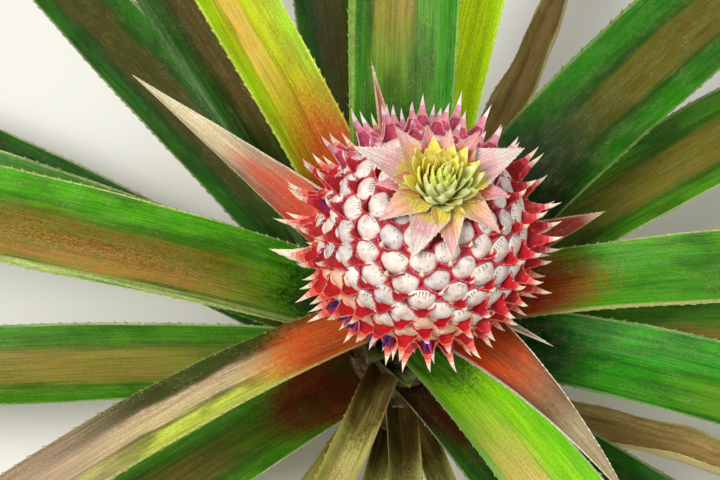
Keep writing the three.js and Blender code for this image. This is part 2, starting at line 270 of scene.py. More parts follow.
# %% [markdown]
# The stripe wanders a little from side to side and has a darker border. Its rust can lean
# to one side, as on the big leaf on the left, which is olive above and terracotta below.

# %% Leaf skin, its stripe
wander = times(skin, minus(skin, patches, 0.5), 0.35)
offset = minus(skin, plus(skin, across, wander), given["Stripe Centre"])
lean = times(skin, over(skin, offset, given["Stripe Width"]), given["Stripe Lean"])
offset = over(skin, bare(skin, offset), given["Stripe Width"])
begun = ramp(skin, minus(skin, along, given["Stripe Start"]), 0.0, 0.12)
uneven = ramp(skin, plus(skin, streaks, mottle), 0.85, 1.25, 1.0, 0.62)
stripe = ramp(skin, offset, 0.6, 1.15, 1.0, 0.0)
stripe = times(skin, stripe, begun, uneven, given["Stripe Amount"])
rusted = plus(skin, ramp(skin, grains, 0.42, 0.62), lean, True)
rusty = mix(skin, rusted, given["Stripe"], given["Rust"])
colour = mix(skin, stripe, colour, rusty)
border = ramp(skin, bare(skin, minus(skin, offset, 0.95)), 0.04, 0.3, 0.75, 0.0)
border = times(skin, border, given["Stripe Amount"], ramp(skin, streaks, 0.36, 0.58))
colour = mix(skin, border, colour, given["Shade"])
print("with its stripe, the leaf skin has", len(skin.nodes), "nodes")

# %% [markdown]
# The foot, red on some leaves and on the green shown leaves a dark green that is painted shade
# under the fruit, ends in a ragged, rounded line. The tip's colour comes in as streaks.

# %% Leaf skin, its foot and tip
ragged = plus(skin, along, times(skin, minus(skin, mottle, 0.5), 0.12))
aside = minus(skin, across, given["Foot Centre"])
aside = times(skin, aside, aside, 0.045)
ragged = over(skin, plus(skin, ragged, aside), given["Foot Reach"])
foot = ramp(skin, ragged, 0.68, 1.2, 1.0, 0.0)
# Where Foot is dark green, this foot colour is painted shade under the fruit.
foot_red_and_shade = mix(skin, 0.4, given["Shade"], given["Foot"])
foot_red_and_shade = mix(skin, ramp(skin, patches, 0.4, 0.65), given["Foot"], foot_red_and_shade)
foot_red_and_shade = mix(skin, ramp(skin, streaks, 0.35, 0.6), given["Foot"], foot_red_and_shade)
colour = mix(skin, foot, colour, foot_red_and_shade)
tip = ramp(skin, minus(skin, along, given["Tip Start"]), 0.0, 0.16)
tip = times(skin, tip, ramp(skin, streaks, 0.34, 0.6, 0.6, 1.0))
colour = mix(skin, tip, colour, given["Tip"])
print("with its foot and tip, the leaf skin has", len(skin.nodes), "nodes")

# %% [markdown]
# The two rims have their own widths. Noise wears them, unless the rim's cover holds them.

# %% Leaf skin, its rims
rims = []
for side, width in ((1.0, given["Left Rim"]), (-1.0, given["Right Rim"])):
    reached = minus(skin, 1.0, times(skin, across, side))
    reached = over(skin, reached, plus(skin, width, 0.001))
    rims.append(ramp(skin, reached, 0.5, 1.15, 1.0, 0.0))
whole_rim = calc(skin, "MAXIMUM", *rims)
patchy = ramp(skin, mottle, 0.3, 0.62, 1.0, 0.55)
streaky = ramp(skin, streaks, 0.42, 0.66, 1.0, 0.3)
covered = times(skin, whole_rim, given["Rim Cover"])
rim = calc(skin, "MAXIMUM", times(skin, whole_rim, patchy, streaky), covered)
colour = mix(skin, rim, colour, given["Rim"])
print("with its rims, the leaf skin has", len(skin.nodes), "nodes")

# %% [markdown]
# The scurf is a fine cell pattern that shows in clusters only, and a coarse one gives a few
# dry spots. Fine lines along the leaf, lighter and darker, lie over all of it.

# %% Leaf skin, its flecks, spots and lines
clusters = ramp(skin, grain(skin, stretch(skin, flat, 8, 14, 1), detail=3), 0.44, 0.62)
cells = {"Vector": stretch(skin, flat, 55, 80, 1), "Randomness": 1.0}
cells = add(skin, "TexVoronoi", cells, 0, feature="F1")
specks = ramp(skin, plus(skin, cells, times(skin, mottle, 0.6)), 0.44, 0.64, 1.0, 0.0)
flecks = times(skin, clusters, specks, given["Fleck Amount"])
colour = mix(skin, flecks, colour, given["Fleck"])
cells = {"Vector": stretch(skin, flat, 7, 13, 1), "Randomness": 1.0}
cells = add(skin, "TexVoronoi", cells, 0, feature="F1")
spots = ramp(skin, plus(skin, cells, times(skin, mottle, 0.3)), 0.23, 0.3, 0.7, 0.0)
colour = mix(skin, times(skin, spots, ramp(skin, along, 0.1, 0.5)), colour, given["Tip"])
lines = ramp(skin, fibres, 0.35, 0.65, 0.8, 1.12)
lines = times(skin, lines, ramp(skin, grains, 0.35, 0.65, 1.14, 0.82))
lines = add(skin, "CombineColor", {0: lines, 1: lines, 2: lines})
colour = mix(skin, 1.0, colour, lines, "MULTIPLY")
print("with its flecks, spots and lines, the leaf skin has", len(skin.nodes), "nodes")

# %% [markdown]
# The underside is silvery, with a breath of the foot's colour: its red, and on the green
# shown leaves the painted shade under the fruit. A last warm tint takes a little blue out of
# everything. The flecks and the underside are matt, and fibres, streaks and flecks stand up
# in the bump.

# %% Leaf skin, its underside and outputs
WARM = (1.02, 1.0, 0.8, 1)
silver = mix(skin, ramp(skin, streaks, 0.35, 0.7), given["Back"], given["Shade"])
silver = mix(skin, ramp(skin, fibres, 0.4, 0.6, 0.35, 0.0), given["Back"], silver)
# The foot's colour on the underside is painted shade where Foot is dark green.
silver = mix(skin, times(skin, foot, 0.55), silver, given["Foot"])
colour = mix(skin, ramp(skin, under, 0.3, 0.8), colour, silver)
feed(skin, wanted["Color"], mix(skin, 1.0, colour, WARM, "MULTIPLY"))
matt = plus(skin, ramp(skin, mottle, 0.3, 0.7, 0.34, 0.52), times(skin, flecks, 0.35))
feed(skin, wanted["Roughness"], plus(skin, matt, times(skin, under, 0.22), True))
height = plus(skin, times(skin, fibres, 0.7), times(skin, streaks, 0.5))
feed(skin, wanted["Height"], plus(skin, height, times(skin, flecks, 0.5)))
print("the leaf skin has", len(skin.nodes), "nodes")

# %% Leaf material
LEAF_SPECULAR = 0.14


def leaf_material(name, look, seed_number):
    values = dict(look, Seed=seed_number * 3.7)
    material, shader = group_material(name, skin, values, 0.5, 0.8)
    shader["Specular IOR Level"].default_value = LEAF_SPECULAR
    return material


# %% [markdown]
# ## How a leaf grows
# Each leaf is a channelled blade on a curved midline. It leaves the stem steeply, bends
# outwards within a hand's breadth, then droops more and more towards its tip, and it turns
# a little to one side. These are the same sizes and the same steps as in the CAD source,
# so that every blade lies inside its solid: the source can't be read from here, so its
# rule is written again.

# %% The source's sizes
GOLDEN_ANGLE = 137.508  # degrees from one leaf or eye to the next
STEM_HEIGHT = 155
STEM_PROFILE = (  # height and radius
    (0, 28),  # foot
    (14, 22),  # waist
    (75, 28),  # belly
    (STEM_HEIGHT, 15),
)
STALK_LENGTH = 34
STALK_RADII = (12, 10)
FRUIT_LEAN = 7
LEAN_AZIMUTH = -10
FRUIT_RADIUS = 47
FRUIT_HALF_HEIGHT = 46
SEAT_SHARE = 0.97
JOIN_GAP = 0.3  # between the stem, the stalk, the fruit and the crown
STEPS = 96  # along a midline
FOOT_STEEPER = 22  # degrees that a blade's foot is steeper than its rise
DROOP_POWER = 1.4


def outwards(azimuth):
    return Vector((math.cos(math.radians(azimuth)), math.sin(math.radians(azimuth)), 0))


def between(a, b, share):
    return a + (b - a) * share


def stem_radius(z):
    for (z0, r0), (z1, r1) in zip(STEM_PROFILE, STEM_PROFILE[1:]):
        if z <= z1:
            t = min(1, max(0, (z - z0) / (z1 - z0)))
            return between(r0, r1, t * t * (3 - 2 * t))
    return STEM_PROFILE[-1][1]


def stalk_at(t):
    lean = math.radians(FRUIT_LEAN) * t
    way = outwards(LEAN_AZIMUTH)
    point = way * (STALK_LENGTH * math.sin(lean) * t / 2)
    point.z = STEM_HEIGHT + JOIN_GAP + STALK_LENGTH * t * math.cos(lean / 2)
    return point, Quaternion(UP.cross(way), lean)


print("the stalk's top is at", [round(c, 1) for c in stalk_at(1)[0]], "mm")


# %% A leaf's midline
def midline(leaf):
    """The point, the pitch and the way outwards at each step from the foot to the tip."""
    step = leaf["length"] / STEPS
    point = leaf["seat"] + outwards(leaf["azimuth"]) * leaf["radius"]
    places = []
    for i in range(STEPS + 1):
        s = i / STEPS
        steeper = FOOT_STEEPER * math.exp(-s * leaf["length"] / leaf["clasp"])
        pitch = math.radians(leaf["rise"] + steeper - leaf["droop"] * s**DROOP_POWER)
        out = outwards(leaf["azimuth"] + leaf["sweep"] * s)
        places.append((point.copy(), pitch, out))
        point += (out * math.cos(pitch) + UP * math.sin(pitch)) * step
    return places


def on_midline(places, s):
    i = min(STEPS - 1, int(s * STEPS))
    t = s * STEPS - i
    (point, pitch, out), (next_point, next_pitch, next_out) = places[i : i + 2]
    return point.lerp(next_point, t), between(pitch, next_pitch, t), out.lerp(next_out, t).normalized()


print("a midline has", STEPS + 1, "places")


# %% [markdown]
# ## The blade's surface
# The blade could be a flat grid with a Solidify modifier, but a real leaf is thick in the
# middle and almost sharp at its margins. So one grid is wrapped right round: half of it is
# the upper face and half the lower, and the two meet at the margins. Moving the grid's
# vertices gives the channel, shallow furrows, a slight twist and wavy rims.

# %% Blade widths
WIDTHS = {  # widest place, width at the foot, power of the taper
    "leaf": (0.36, 0.88, 1.7),
    "leaflet": (0.12, 0.85, 1.15),
    "bract": (0.3, 0.9, 0.43),
    "scale": (0.3, 0.95, 1.3),
    "crown": (0.22, 0.8, 1.0),
    "bud": (0.34, 0.85, 1.05),
}


def half_width(leaf, s):
    widest, foot, power = WIDTHS[leaf["form"]]
    if s < widest:
        share = foot + (1 - foot) * math.sin(s / widest * math.pi / 2) ** 2
    else:
        share = 1 - ((s - widest) / (1 - widest)) ** power
    return leaf["width"] / 2 * max(0.0, share)


print("blades have", len(WIDTHS), "outlines")

# %% [markdown]
# Across the blade, the section is an arc: the channel. It is folded deeper at the foot,
# where the leaf clasps the stem. Sizes here are in millimetres, and shares run from 0 at
# the foot to 1 at the tip, or from -1 to 1 across.

# %% Blade section
FURROWS = 5  # ridges and furrows across a blade
FOOT_FOLD_LENGTH = 55  # within which the deeper fold of the foot opens
WAVE_LENGTH = 38
CRUMPLE_LENGTH = 16


def fold_angle(leaf, s):
    """Half the angle that the channel turns through, deeper at the foot."""
    fold = leaf["fold"] + leaf["foot_fold"] * math.exp(-s * leaf["length"] / FOOT_FOLD_LENGTH)
    return math.radians(fold * (1 + leaf["roll"] * s))


def half_thickness(leaf, s, across, grow):
    """Full in the middle, thin at the margins and the tip, and furrowed."""
    thick = between(leaf["thick"], 0.9 * leaf["thin"], s) * (1 - abs(across) ** 2.4)
    thick = (thick + leaf["thin"]) * min(1, (1 - s) * 9 + 0.15) / 2 + grow
    return thick + leaf["furrow"] * math.cos(across * math.pi * FURROWS) * min(1, (1 - s) * 4)


def surface_lift(leaf, s, across):
    """Long waves at the margins, and a fine crumple."""
    where = Vector((s * leaf["length"] / WAVE_LENGTH, across * 1.3, leaf["seed"] * 7.7))
    lift = leaf["wave"] * noise.noise(where) * abs(across) ** 2 * min(1, s * 6)
    where = Vector((s * leaf["length"] / CRUMPLE_LENGTH, across * 3.1, leaf["seed"] * 5.3))
    return lift + leaf["crumple"] * noise.noise(where)


print("the thickness changes over", FURROWS, "furrows")


# %% A place on the blade
def blade_point(leaf, places, s, across, face, grow=0.0):
    """A place on the blade: face is 1 on the upper side, -1 below and 0 at a margin."""
    point, pitch, out = on_midline(places, s)
    fold = fold_angle(leaf, s)
    curl = max(0.05, half_width(leaf, s)) / fold
    reach = curl - min(half_thickness(leaf, s, across, grow), 0.8 * curl) * face
    twist = Quaternion(out, math.radians(leaf["twist"]) * s * s)
    side = twist @ UP.cross(out)
    normal = twist @ (UP * math.cos(pitch) - out * math.sin(pitch))
    wander = Vector((s * 3.1, leaf["seed"] * 3.3, 0))
    point = point + side * (leaf["stray"] * noise.noise(wander) * min(1, s * 3))
    point += side * (reach * math.sin(across * fold))
    lift = surface_lift(leaf, s, across)
    return (point + normal * (curl - reach * math.cos(across * fold) + lift)) * MM


# %% Add a blade
def add_blade(bm, leaf, rings, columns, grow=0.0, reach=(0.0, 1.0), span=(-1.0, 1.0)):
    """Adds one closed blade, or the part within reach and span, and gives its vertices."""
    places = midline(leaf)
    along, across, under = [bm.verts.layers.float.get(name) for name in LEAF_LAYERS]
    uv = bm.loops.layers.uv.get("leaf")
    made = bmesh.ops.create_grid(bm, x_segments=rings, y_segments=2 * columns, size=0.5)
    verts = made["verts"]
    for v in verts:
        turn = v.co.y + 0.5  # 0 and 1 at one margin, 0.5 at the other
        v[under] = turn
        v[along] = between(*reach, v.co.x + 0.5)
        v[across] = between(*span, 2 * turn if turn <= 0.5 else 2 - 2 * turn)
    for face in {f for v in verts for f in v.link_faces}:
        lower = face.calc_center_median().y > 0
        for loop in face.loops:
            v = loop.vert
            flat_across = v[across] * half_width(leaf, v[along]) / 100
            loop[uv].uv = (v[along] * leaf["length"] / 100, flat_across + 2 * lower)
    for v in verts:
        turn = v[under]
        edge = min(abs(turn), abs(turn - 0.5), abs(turn - 1)) < 1e-4
        face = 0 if edge else (1 if turn <= 0.5 else -1)
        v.co = blade_point(leaf, places, v[along], v[across], face, grow)
        v[under] = 0.0 if turn <= 0.5 or turn > 0.9999 else 1.0
    bmesh.ops.remove_doubles(bm, verts=verts, dist=1e-6)
    verts = [v for v in verts if v.is_valid]
    rims = [e for e in {e for v in verts for e in v.link_edges} if e.is_boundary]
    if rims:
        bmesh.ops.holes_fill(bm, edges=rims)
    return verts, places


# %% [markdown]
# The thorns at the margins point outwards and towards the tip. Each is a small cone with
# its foot sunk in the margin, and their sizes and gaps vary a little.


# %% Add thorns
def add_thorns(bm, leaf, places, spacing, size, rng, last=0.975):
    along, across, under = [bm.verts.layers.float.get(name) for name in LEAF_LAYERS]
    made = []
    for edge in (-1, 1):
        s = 0.06
        while s < last:
            here = blade_point(leaf, places, s, edge, 0)
            ahead = blade_point(leaf, places, min(1, s + 0.01), edge, 0) - here
            outer = here - blade_point(leaf, places, s, edge * 0.8, 0)
            way = ahead.normalized() * 0.8 + outer.normalized() * 0.65
            long = size * MM * rng.uniform(0.7, 1.25)
            turn = way.to_track_quat("Z", "Y").to_matrix().to_4x4()
            centre = here + way.normalized() * long * 0.3 - outer.normalized() * 0.2 * MM
            cone = bmesh.ops.create_cone(
                bm, cap_ends=True, segments=4, radius1=long * 0.32, radius2=0.0, depth=long,
                matrix=Matrix.Translation(centre) @ turn,
            )
            for v in cone["verts"]:
                v[along], v[across], v[under] = s, edge, 0.0
            made += cone["verts"]
            s += spacing / leaf["length"] * rng.uniform(0.75, 1.3)
    return made


# %% [markdown]
# ## From a bmesh to a finished piece
# Every piece is made in place, in the part's own frame, so its object stays at the origin.
# The piece then gets its material, hides the CAD node that it stands for, and rides on the
# plant's only body.


# %% Finish a piece
def new_mesh():
    bm = bmesh.new()
    for name in LEAF_LAYERS:
        bm.verts.layers.float.new(name)
    bm.loops.layers.uv.new("leaf")
    return bm


def finish_piece(name, bm, material, node):
    bmesh.ops.recalc_face_normals(bm, faces=bm.faces)
    mesh = bpy.data.meshes.new(name)
    bm.to_mesh(mesh)
    bm.free()
    mesh.shade_smooth()
    mesh.set_sharp_from_angle(angle=math.radians(62))
    mesh.materials.append(material)
    piece = bpy.data.objects.new(name, mesh)
    bpy.context.scene.collection.objects.link(piece)
    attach(piece, "root")
    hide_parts(node)
    return piece


# %% [markdown]
# ## The leaves, one by one
# The ten upper leaves are the ones that the picture shows, and each has its own colours.
# The lower ones follow the golden angle, like the real plant's, and share a few looks.
# The oldest are dead, and so are those in the gap in front of the plant.

# %% Leaf sizes
SHOWN_LEAVES = [  # azimuth, length, width, rise, droop, sweep
    (213, 430, 34, 14, 46, 4),
    (123, 520, 43, 31, 54, 0),
    (-2, 480, 43, 21, 49, -2),
    (91, 690, 64, 38, 50, -14),
    (-57, 570, 46, 18, 56, -13),
    (175.5, 660, 57, 20, 40, -8),
    (78, 560, 46, 27, 48, -8),
    (43, 670, 66, 24, 58, -16),
    (-18, 640, 50, 13, 40, -7),
    (127, 650, 60, 21, 40, -12),
]
STALK_LEAFLETS = [  # the same, and the place on the stalk
    (98, 104, 19, 38, 12, 6, 0.8),
    (177, 62, 26, 16, 10, -12, 0.72),
    (-29, 73, 12, 12, 16, 0, 0.64),
    (13, 101, 42, 12, 12, 12, 0.52),
    (148, 169, 40, 23, 14, -6, 0.38),
    (-43, 150, 44, 22, 34, -12, 0.22),
]
TOP_SEAT, SEAT_STEP = 148, 3.5  # the shown leaves' seats on the stem
FOOT_OUT, LEAFLET_FOOT_OUT = 1.8, 0.8  # from the surface of the stem or stalk
LOWER_LEAVES = 22
FIRST_LOWER_AZIMUTH = 251
LOWER_SIZES = {  # of the highest and the lowest of the lower leaves
    "seat": (111, 16), "length": (640, 430), "width": (56, 46), "rise": (15, 3), "droop": (40, 17),
}
LOWER_SWEEP = -6
GAP = (222, 294)  # azimuths between which the lower leaves are small and dead
GAP_LENGTH, GAP_WIDTH = 0.6, 0.7
DEAD_AGE = 0.8  # from the highest lower leaf, 0, to the lowest, 1
KEYS = ("azimuth", "length", "width", "rise", "droop", "sweep")
BLADE = {"form": "leaf", "clasp": 55, "fold": 38, "foot_fold": 26, "thick": 2.2, "thin": 0.5,
         "furrow": 0.18, "wave": 1.6, "crumple": 0.15, "twist": 0, "stray": 0, "roll": 0}
print(len(SHOWN_LEAVES), "shown leaves and", LOWER_LEAVES, "lower ones")


# %% Leaf list
def in_gap(azimuth):
    return GAP[0] < azimuth < GAP[1]


def stem_seat(height):
    seat = Vector((0, 0, height))
    return {"seat": seat, "radius": stem_radius(seat.z) + FOOT_OUT}


def list_leaves():
    leaves = []
    for i, row in enumerate(STALK_LEAFLETS):
        radius = between(*STALK_RADII, row[6]) + LEAFLET_FOOT_OUT
        leaf = dict(BLADE, **dict(zip(KEYS, row)), seat=stalk_at(row[6])[0], radius=radius)
        leaf.update(form="leaflet", clasp=55 / 3, thick=1.1, thin=0.35, furrow=0.1, wave=1.0)
        leaf.update(crumple=0.5, roll=0.9 if leaf["length"] > 120 else 0.3)
        leaves.append(dict(leaf, name=f"stalk_leaflet_{i + 1:02d}", kind="leaflet", seed=i + 60))
    for i, row in enumerate(SHOWN_LEAVES):
        leaf = dict(BLADE, **dict(zip(KEYS, row)), **stem_seat(TOP_SEAT - SEAT_STEP * i))
        leaves.append(dict(leaf, name=f"leaf_{i + 1:02d}", kind="leaf", seed=i))
    for i in range(LOWER_LEAVES):
        age = i / (LOWER_LEAVES - 1)
        azimuth = (FIRST_LOWER_AZIMUTH + i * GOLDEN_ANGLE) % 360
        sizes = {key: between(*ends, age) for key, ends in LOWER_SIZES.items()}
        leaf = dict(BLADE, **sizes, azimuth=azimuth, sweep=LOWER_SWEEP)
        leaf.update(stem_seat(sizes["seat"]))
        if in_gap(azimuth):
            leaf.update(length=leaf["length"] * GAP_LENGTH, width=leaf["width"] * GAP_WIDTH)
        kind = "dry_leaf" if in_gap(azimuth) or age > DEAD_AGE else "leaf"
        leaves.append(dict(leaf, name=f"leaf_{i + 11:02d}", kind=kind, seed=i + 10))
    return leaves


LEAVES = list_leaves()
print(len(LEAVES), "leaves,", sum(leaf["kind"] == "dry_leaf" for leaf in LEAVES), "of them dead")

# %% [markdown]
# Each shown leaf's colours are told in plain words by the inputs of the leaf skin. The
# left rim is on the left when one looks out from the stem along the leaf. On the green
# leaves 04, 05, 06, 08, 09 and 10 the dark green foot is painted shade under the fruit.
# Dead leaves in the gap are fading, and the other dead ones are straw-coloured.

# %% Looks
SHOWN_LOOKS = {
    "leaf_01": {
        "Green": "#b4c44c", "Edge Green": "#34420a", "Edge Shift": 0.4, "Shade": "#33300c",
        "Stripe": "#a88c78", "Rust": "#dcc4ac", "Stripe Amount": 0.95, "Stripe Centre": -0.12,
        "Stripe Width": 0.42, "Foot": "#c8582a", "Foot Reach": 0.185, "Foot Centre": 0.3,
        "Tip": "#9c8478", "Tip Start": 0.3, "Rim": "#b0b678", "Left Rim": 0.14, "Right Rim": 0.02,
        "Fleck Amount": 0.9,
    },
    "leaf_02": {
        "Green": "#b0c00a", "Edge Green": "#94c40a", "Shade": "#8a8c08", "Stripe": "#d0a244",
        "Rust": "#ecc878", "Stripe Amount": 0.9, "Stripe Centre": 0.2, "Stripe Width": 0.32,
        "Stripe Start": 0.18, "Foot": "#b4461c", "Foot Reach": 0.23, "Foot Centre": -0.4,
        "Rim": "#d8e06c", "Left Rim": 0.1, "Fleck": "#e0a058", "Fleck Amount": 0.8,
    },
    "leaf_03": {
        "Green": "#3c840c", "Edge Green": "#46920e", "Shade": "#245006", "Stripe Amount": 0.0,
        "Foot": "#a42c12", "Foot Reach": 0.195, "Rim": "#c2b48c", "Left Rim": 0.04,
        "Right Rim": 0.16, "Fleck Amount": 0.9,
    },
    # its dark green foot is painted shade under the fruit
    "leaf_04": {
        "Green": "#4f8a1c", "Edge Green": "#2f840c", "Shade": "#214a06", "Stripe": "#96762c",
        "Rust": "#bca060", "Stripe Amount": 0.95, "Stripe Centre": 0.2, "Stripe Width": 0.42,
        "Stripe Start": 0.14, "Foot": "#213f08", "Foot Reach": 0.16, "Rim": "#9ab65c",
        "Left Rim": 0.16, "Fleck Amount": 1.0,
    },
    # its dark green foot is painted shade under the fruit
    "leaf_05": {
        "Green": "#8ccc1c", "Edge Green": "#6abc0a", "Shade": "#66ac14", "Stripe": "#ccb870",
        "Rust": "#dca070", "Stripe Amount": 0.95, "Stripe Centre": -0.34, "Stripe Width": 0.56,
        "Stripe Start": 0.09, "Foot": "#2e600a", "Foot Reach": 0.09, "Rim": "#a4ac8c",
        "Right Rim": 0.16, "Fleck Amount": 0.5,
    },
    # its near-black green foot is painted shade under the fruit
    "leaf_06": {
        "Green": "#489408", "Edge Green": "#489a0c", "Shade": "#265806", "Stripe": "#5e4608",
        "Rust": "#b07c40", "Stripe Amount": 1.0, "Stripe Centre": 0.16, "Stripe Width": 0.66,
        "Stripe Start": 0.055, "Stripe Lean": 0.7, "Foot": "#0f2c06", "Foot Reach": 0.09,
        "Rim": "#c8cc90", "Left Rim": 0.26, "Right Rim": 0.03, "Fleck Amount": 1.0,
    },
    # leaf_07's lime, pushed to near white, is partly its own colour and partly painted sunlight
    # glowing through the blade.
    "leaf_07": {
        "Green": "#dcff1c", "Edge Green": "#ccfa18", "Shade": "#bef012", "Stripe Amount": 0.0,
        "Foot": "#7c2c0c", "Foot Reach": 0.13, "Rim": "#e4f494", "Right Rim": 0.09,
        "Fleck Amount": 0.1,
    },
    # its dark green foot is painted shade under the fruit
    "leaf_08": {
        "Green": "#246006", "Edge Green": "#287408", "Shade": "#163c05", "Stripe": "#544e08",
        "Rust": "#745828", "Stripe Amount": 0.9, "Stripe Width": 0.42, "Foot": "#152a05",
        "Foot Reach": 0.22, "Rim": "#8a9e60", "Fleck Amount": 0.7,
    },
    # its dark green foot is painted shade under the fruit
    "leaf_09": {
        "Green": "#2c8c08", "Edge Green": "#3c9c0e", "Shade": "#145006", "Stripe": "#6c8c18",
        "Rust": "#94a044", "Stripe Amount": 0.75, "Stripe Centre": -0.4, "Stripe Start": 0.17,
        "Foot": "#0f3c06", "Foot Reach": 0.15, "Rim": "#9ab080", "Right Rim": 0.08,
        "Fleck Amount": 0.8,
    },
    # its dark green foot is painted shade under the fruit
    "leaf_10": {
        "Green": "#304c0c", "Edge Green": "#286812", "Shade": "#1a2e08", "Stripe": "#48381a",
        "Rust": "#6c5830", "Stripe Amount": 0.9, "Stripe Centre": -0.1, "Stripe Width": 0.6,
        "Foot": "#1f3f0c", "Foot Reach": 0.16, "Rim": "#7c9c74", "Left Rim": 0.24,
        "Fleck Amount": 0.7,
    },
    "stalk_leaflet_01": {
        "Green": "#b87c6c", "Edge Green": "#d8b8a4", "Shade": "#7c4036", "Stripe": "#743830",
        "Rust": "#a0685a", "Stripe Amount": 0.9, "Stripe Width": 0.42, "Foot": "#cf3c34",
        "Foot Reach": 0.36, "Tip Start": 0.84, "Left Rim": 0.24, "Right Rim": 0.24,
    },
    "stalk_leaflet_02": {
        "Green": "#a03a34", "Edge Green": "#b4605a", "Shade": "#7a2420", "Stripe Amount": 0.2,
        "Foot": "#a81c22", "Foot Reach": 0.6, "Left Rim": 0.2, "Right Rim": 0.2,
    },
    "stalk_leaflet_03": {
        "Green": "#b89c98", "Edge Green": "#dcd4ca", "Shade": "#86666a", "Stripe": "#84444c",
        "Rust": "#a87478", "Stripe Amount": 0.85, "Stripe Width": 0.36, "Foot": "#b44a44",
        "Foot Reach": 0.3, "Tip Start": 0.8,
    },
    "stalk_leaflet_04": {
        "Green": "#96382e", "Edge Green": "#a8584e", "Shade": "#6c1c18", "Stripe Amount": 0.2,
        "Foot": "#a61a16", "Foot Reach": 0.8, "Tip Start": 0.84, "Rim": "#cdb0a0",
        "Left Rim": 0.16, "Right Rim": 0.12,
    },
    "stalk_leaflet_05": {
        "Green": "#c09484", "Edge Green": "#a89888", "Shade": "#86685a", "Stripe": "#b8402e",
        "Rust": "#cc6a58", "Stripe Amount": 0.75, "Stripe Centre": -0.1, "Stripe Width": 0.34,
        "Foot": "#d84c34", "Foot Reach": 0.5, "Tip": "#d0c8b2", "Tip Start": 0.52,
        "Rim": "#e2d8ca", "Left Rim": 0.16, "Right Rim": 0.1, "Fleck": "#e6c4ac",
        "Fleck Amount": 0.9,
    },
    "stalk_leaflet_06": {
        "Green": "#80684c", "Edge Green": "#786048", "Shade": "#604630", "Stripe Amount": 0.0,
        "Foot": "#cc4818", "Foot Reach": 0.54, "Tip": "#a89c84", "Tip Start": 0.62,
        "Rim": "#ffffff", "Left Rim": 0.03, "Right Rim": 0.3, "Rim Cover": 0.96,
        "Fleck": "#dc9a72", "Fleck Amount": 1.0,
    },
}
LEAFLET_LOOK = {
    "Tip": "#efeae0", "Tip Start": 0.62, "Rim": "#e6dccb", "Left Rim": 0.1, "Right Rim": 0.1,
    "Fleck Amount": 0.7, "Back": "#cfc0b0",
}
LOWER_LOOKS = [
    {
        "Green": "#286408", "Edge Green": "#34780c", "Shade": "#193e05", "Stripe": "#553a14",
        "Rust": "#7a5a2c", "Foot": "#4c200c",
    },
    {
        "Green": "#3c780c", "Edge Green": "#4c8e10", "Shade": "#244e06", "Stripe": "#74501e",
        "Rust": "#9c7440", "Foot": "#682c10",
    },
    {
        "Green": "#50801a", "Edge Green": "#3f840f", "Shade": "#2c5608", "Stripe": "#8a682c",
        "Rust": "#ae8c54", "Foot": "#743614",
    },
    {
        "Green": "#205209", "Edge Green": "#2c6c0e", "Shade": "#153806", "Stripe": "#442e12",
        "Rust": "#644a28", "Foot": "#3a1a0a",
    },
]
FADING_LOOK = {
    "Green": "#c6c87c", "Edge Green": "#d2d488", "Shade": "#8e924e", "Stripe": "#ccb88a",
    "Rust": "#ac9660", "Stripe Amount": 0.7, "Stripe Width": 0.4, "Foot": "#5c4424",
    "Foot Reach": 0.16, "Tip": "#8e7046", "Tip Start": 0.55, "Rim": "#d09a3c", "Left Rim": 0.1,
    "Fleck Amount": 0.3, "Back": "#d4d4ac",
}
DRY_LOOK = {
    "Green": "#c8b078", "Edge Green": "#dcc892", "Shade": "#8a6c40", "Stripe": "#a07e50",
    "Rust": "#c8ac7c", "Stripe Amount": 0.8, "Stripe Width": 0.3, "Foot": "#5c4024",
    "Foot Reach": 0.16, "Tip": "#4c3822", "Tip Start": 0.7, "Rim": "#e6d8aa", "Fleck": "#7c705c",
    "Fleck Amount": 0.9, "Back": "#c8b890",
}
print("looks for", len(SHOWN_LOOKS), "shown leaves and", len(LOWER_LOOKS), "for the lower ones")

# %% [markdown]
# Thorns and the grid follow the kind of leaf. A dead leaf is thin, narrow, twisted and
# rolled up along its length, and it strays from its midline.

# %% Make the leaves
MAKES = {  # rings, columns, spacing of the thorns and their length
    "leaf": (104, 20, 6.5, 2.2),
    "dry_leaf": (104, 20, 6.5, 2.2),
    "leaflet": (48, 12, 3.2, 1.1),
}
DRY = {"thick": 0.8, "thin": 0.35, "wave": 9, "roll": 0.9, "stray": 11, "furrow": 0.25, "crumple": 1.7}
DRY_NARROW = 0.86

rng = random.Random(7)
triangles = 0
for number, leaf in enumerate(LEAVES):
    name = leaf["name"]
    look = SHOWN_LOOKS.get(name, LOWER_LOOKS[number % len(LOWER_LOOKS)])
    if leaf["kind"] == "leaflet":
        look = dict(LEAFLET_LOOK, **look)
    elif leaf["kind"] == "dry_leaf":
        look = FADING_LOOK if in_gap(leaf["azimuth"]) else DRY_LOOK
        leaf.update(DRY, width=leaf["width"] * DRY_NARROW, fold=rng.uniform(62, 88))
        leaf["twist"] = rng.uniform(-60, 60)
    else:
        leaf["twist"] = rng.uniform(-5, 5)
    rings, columns, spacing, thorn = MAKES[leaf["kind"]]
    bm = new_mesh()
    verts, places = add_blade(bm, leaf, rings, columns)
    add_thorns(bm, leaf, places, spacing, thorn, rng)
    material = leaf_material(name + "_skin", look, number)
    piece = finish_piece(name + "_blade", bm, material, name)
    triangles += sum(len(p.vertices) - 2 for p in piece.data.polygons)
print("the leaves have", triangles, "triangles")

# %% [markdown]
# ## Stem and stalk
# The stem is short and hidden by the leaf feet, but the gaps show it from the side: a brown
# core with the rings that fallen leaves leave, and coarse fibres between them. A grid is
# closed to a tube, and each vertex is moved to the stem's radius, in and out by the rings
# and by noise.


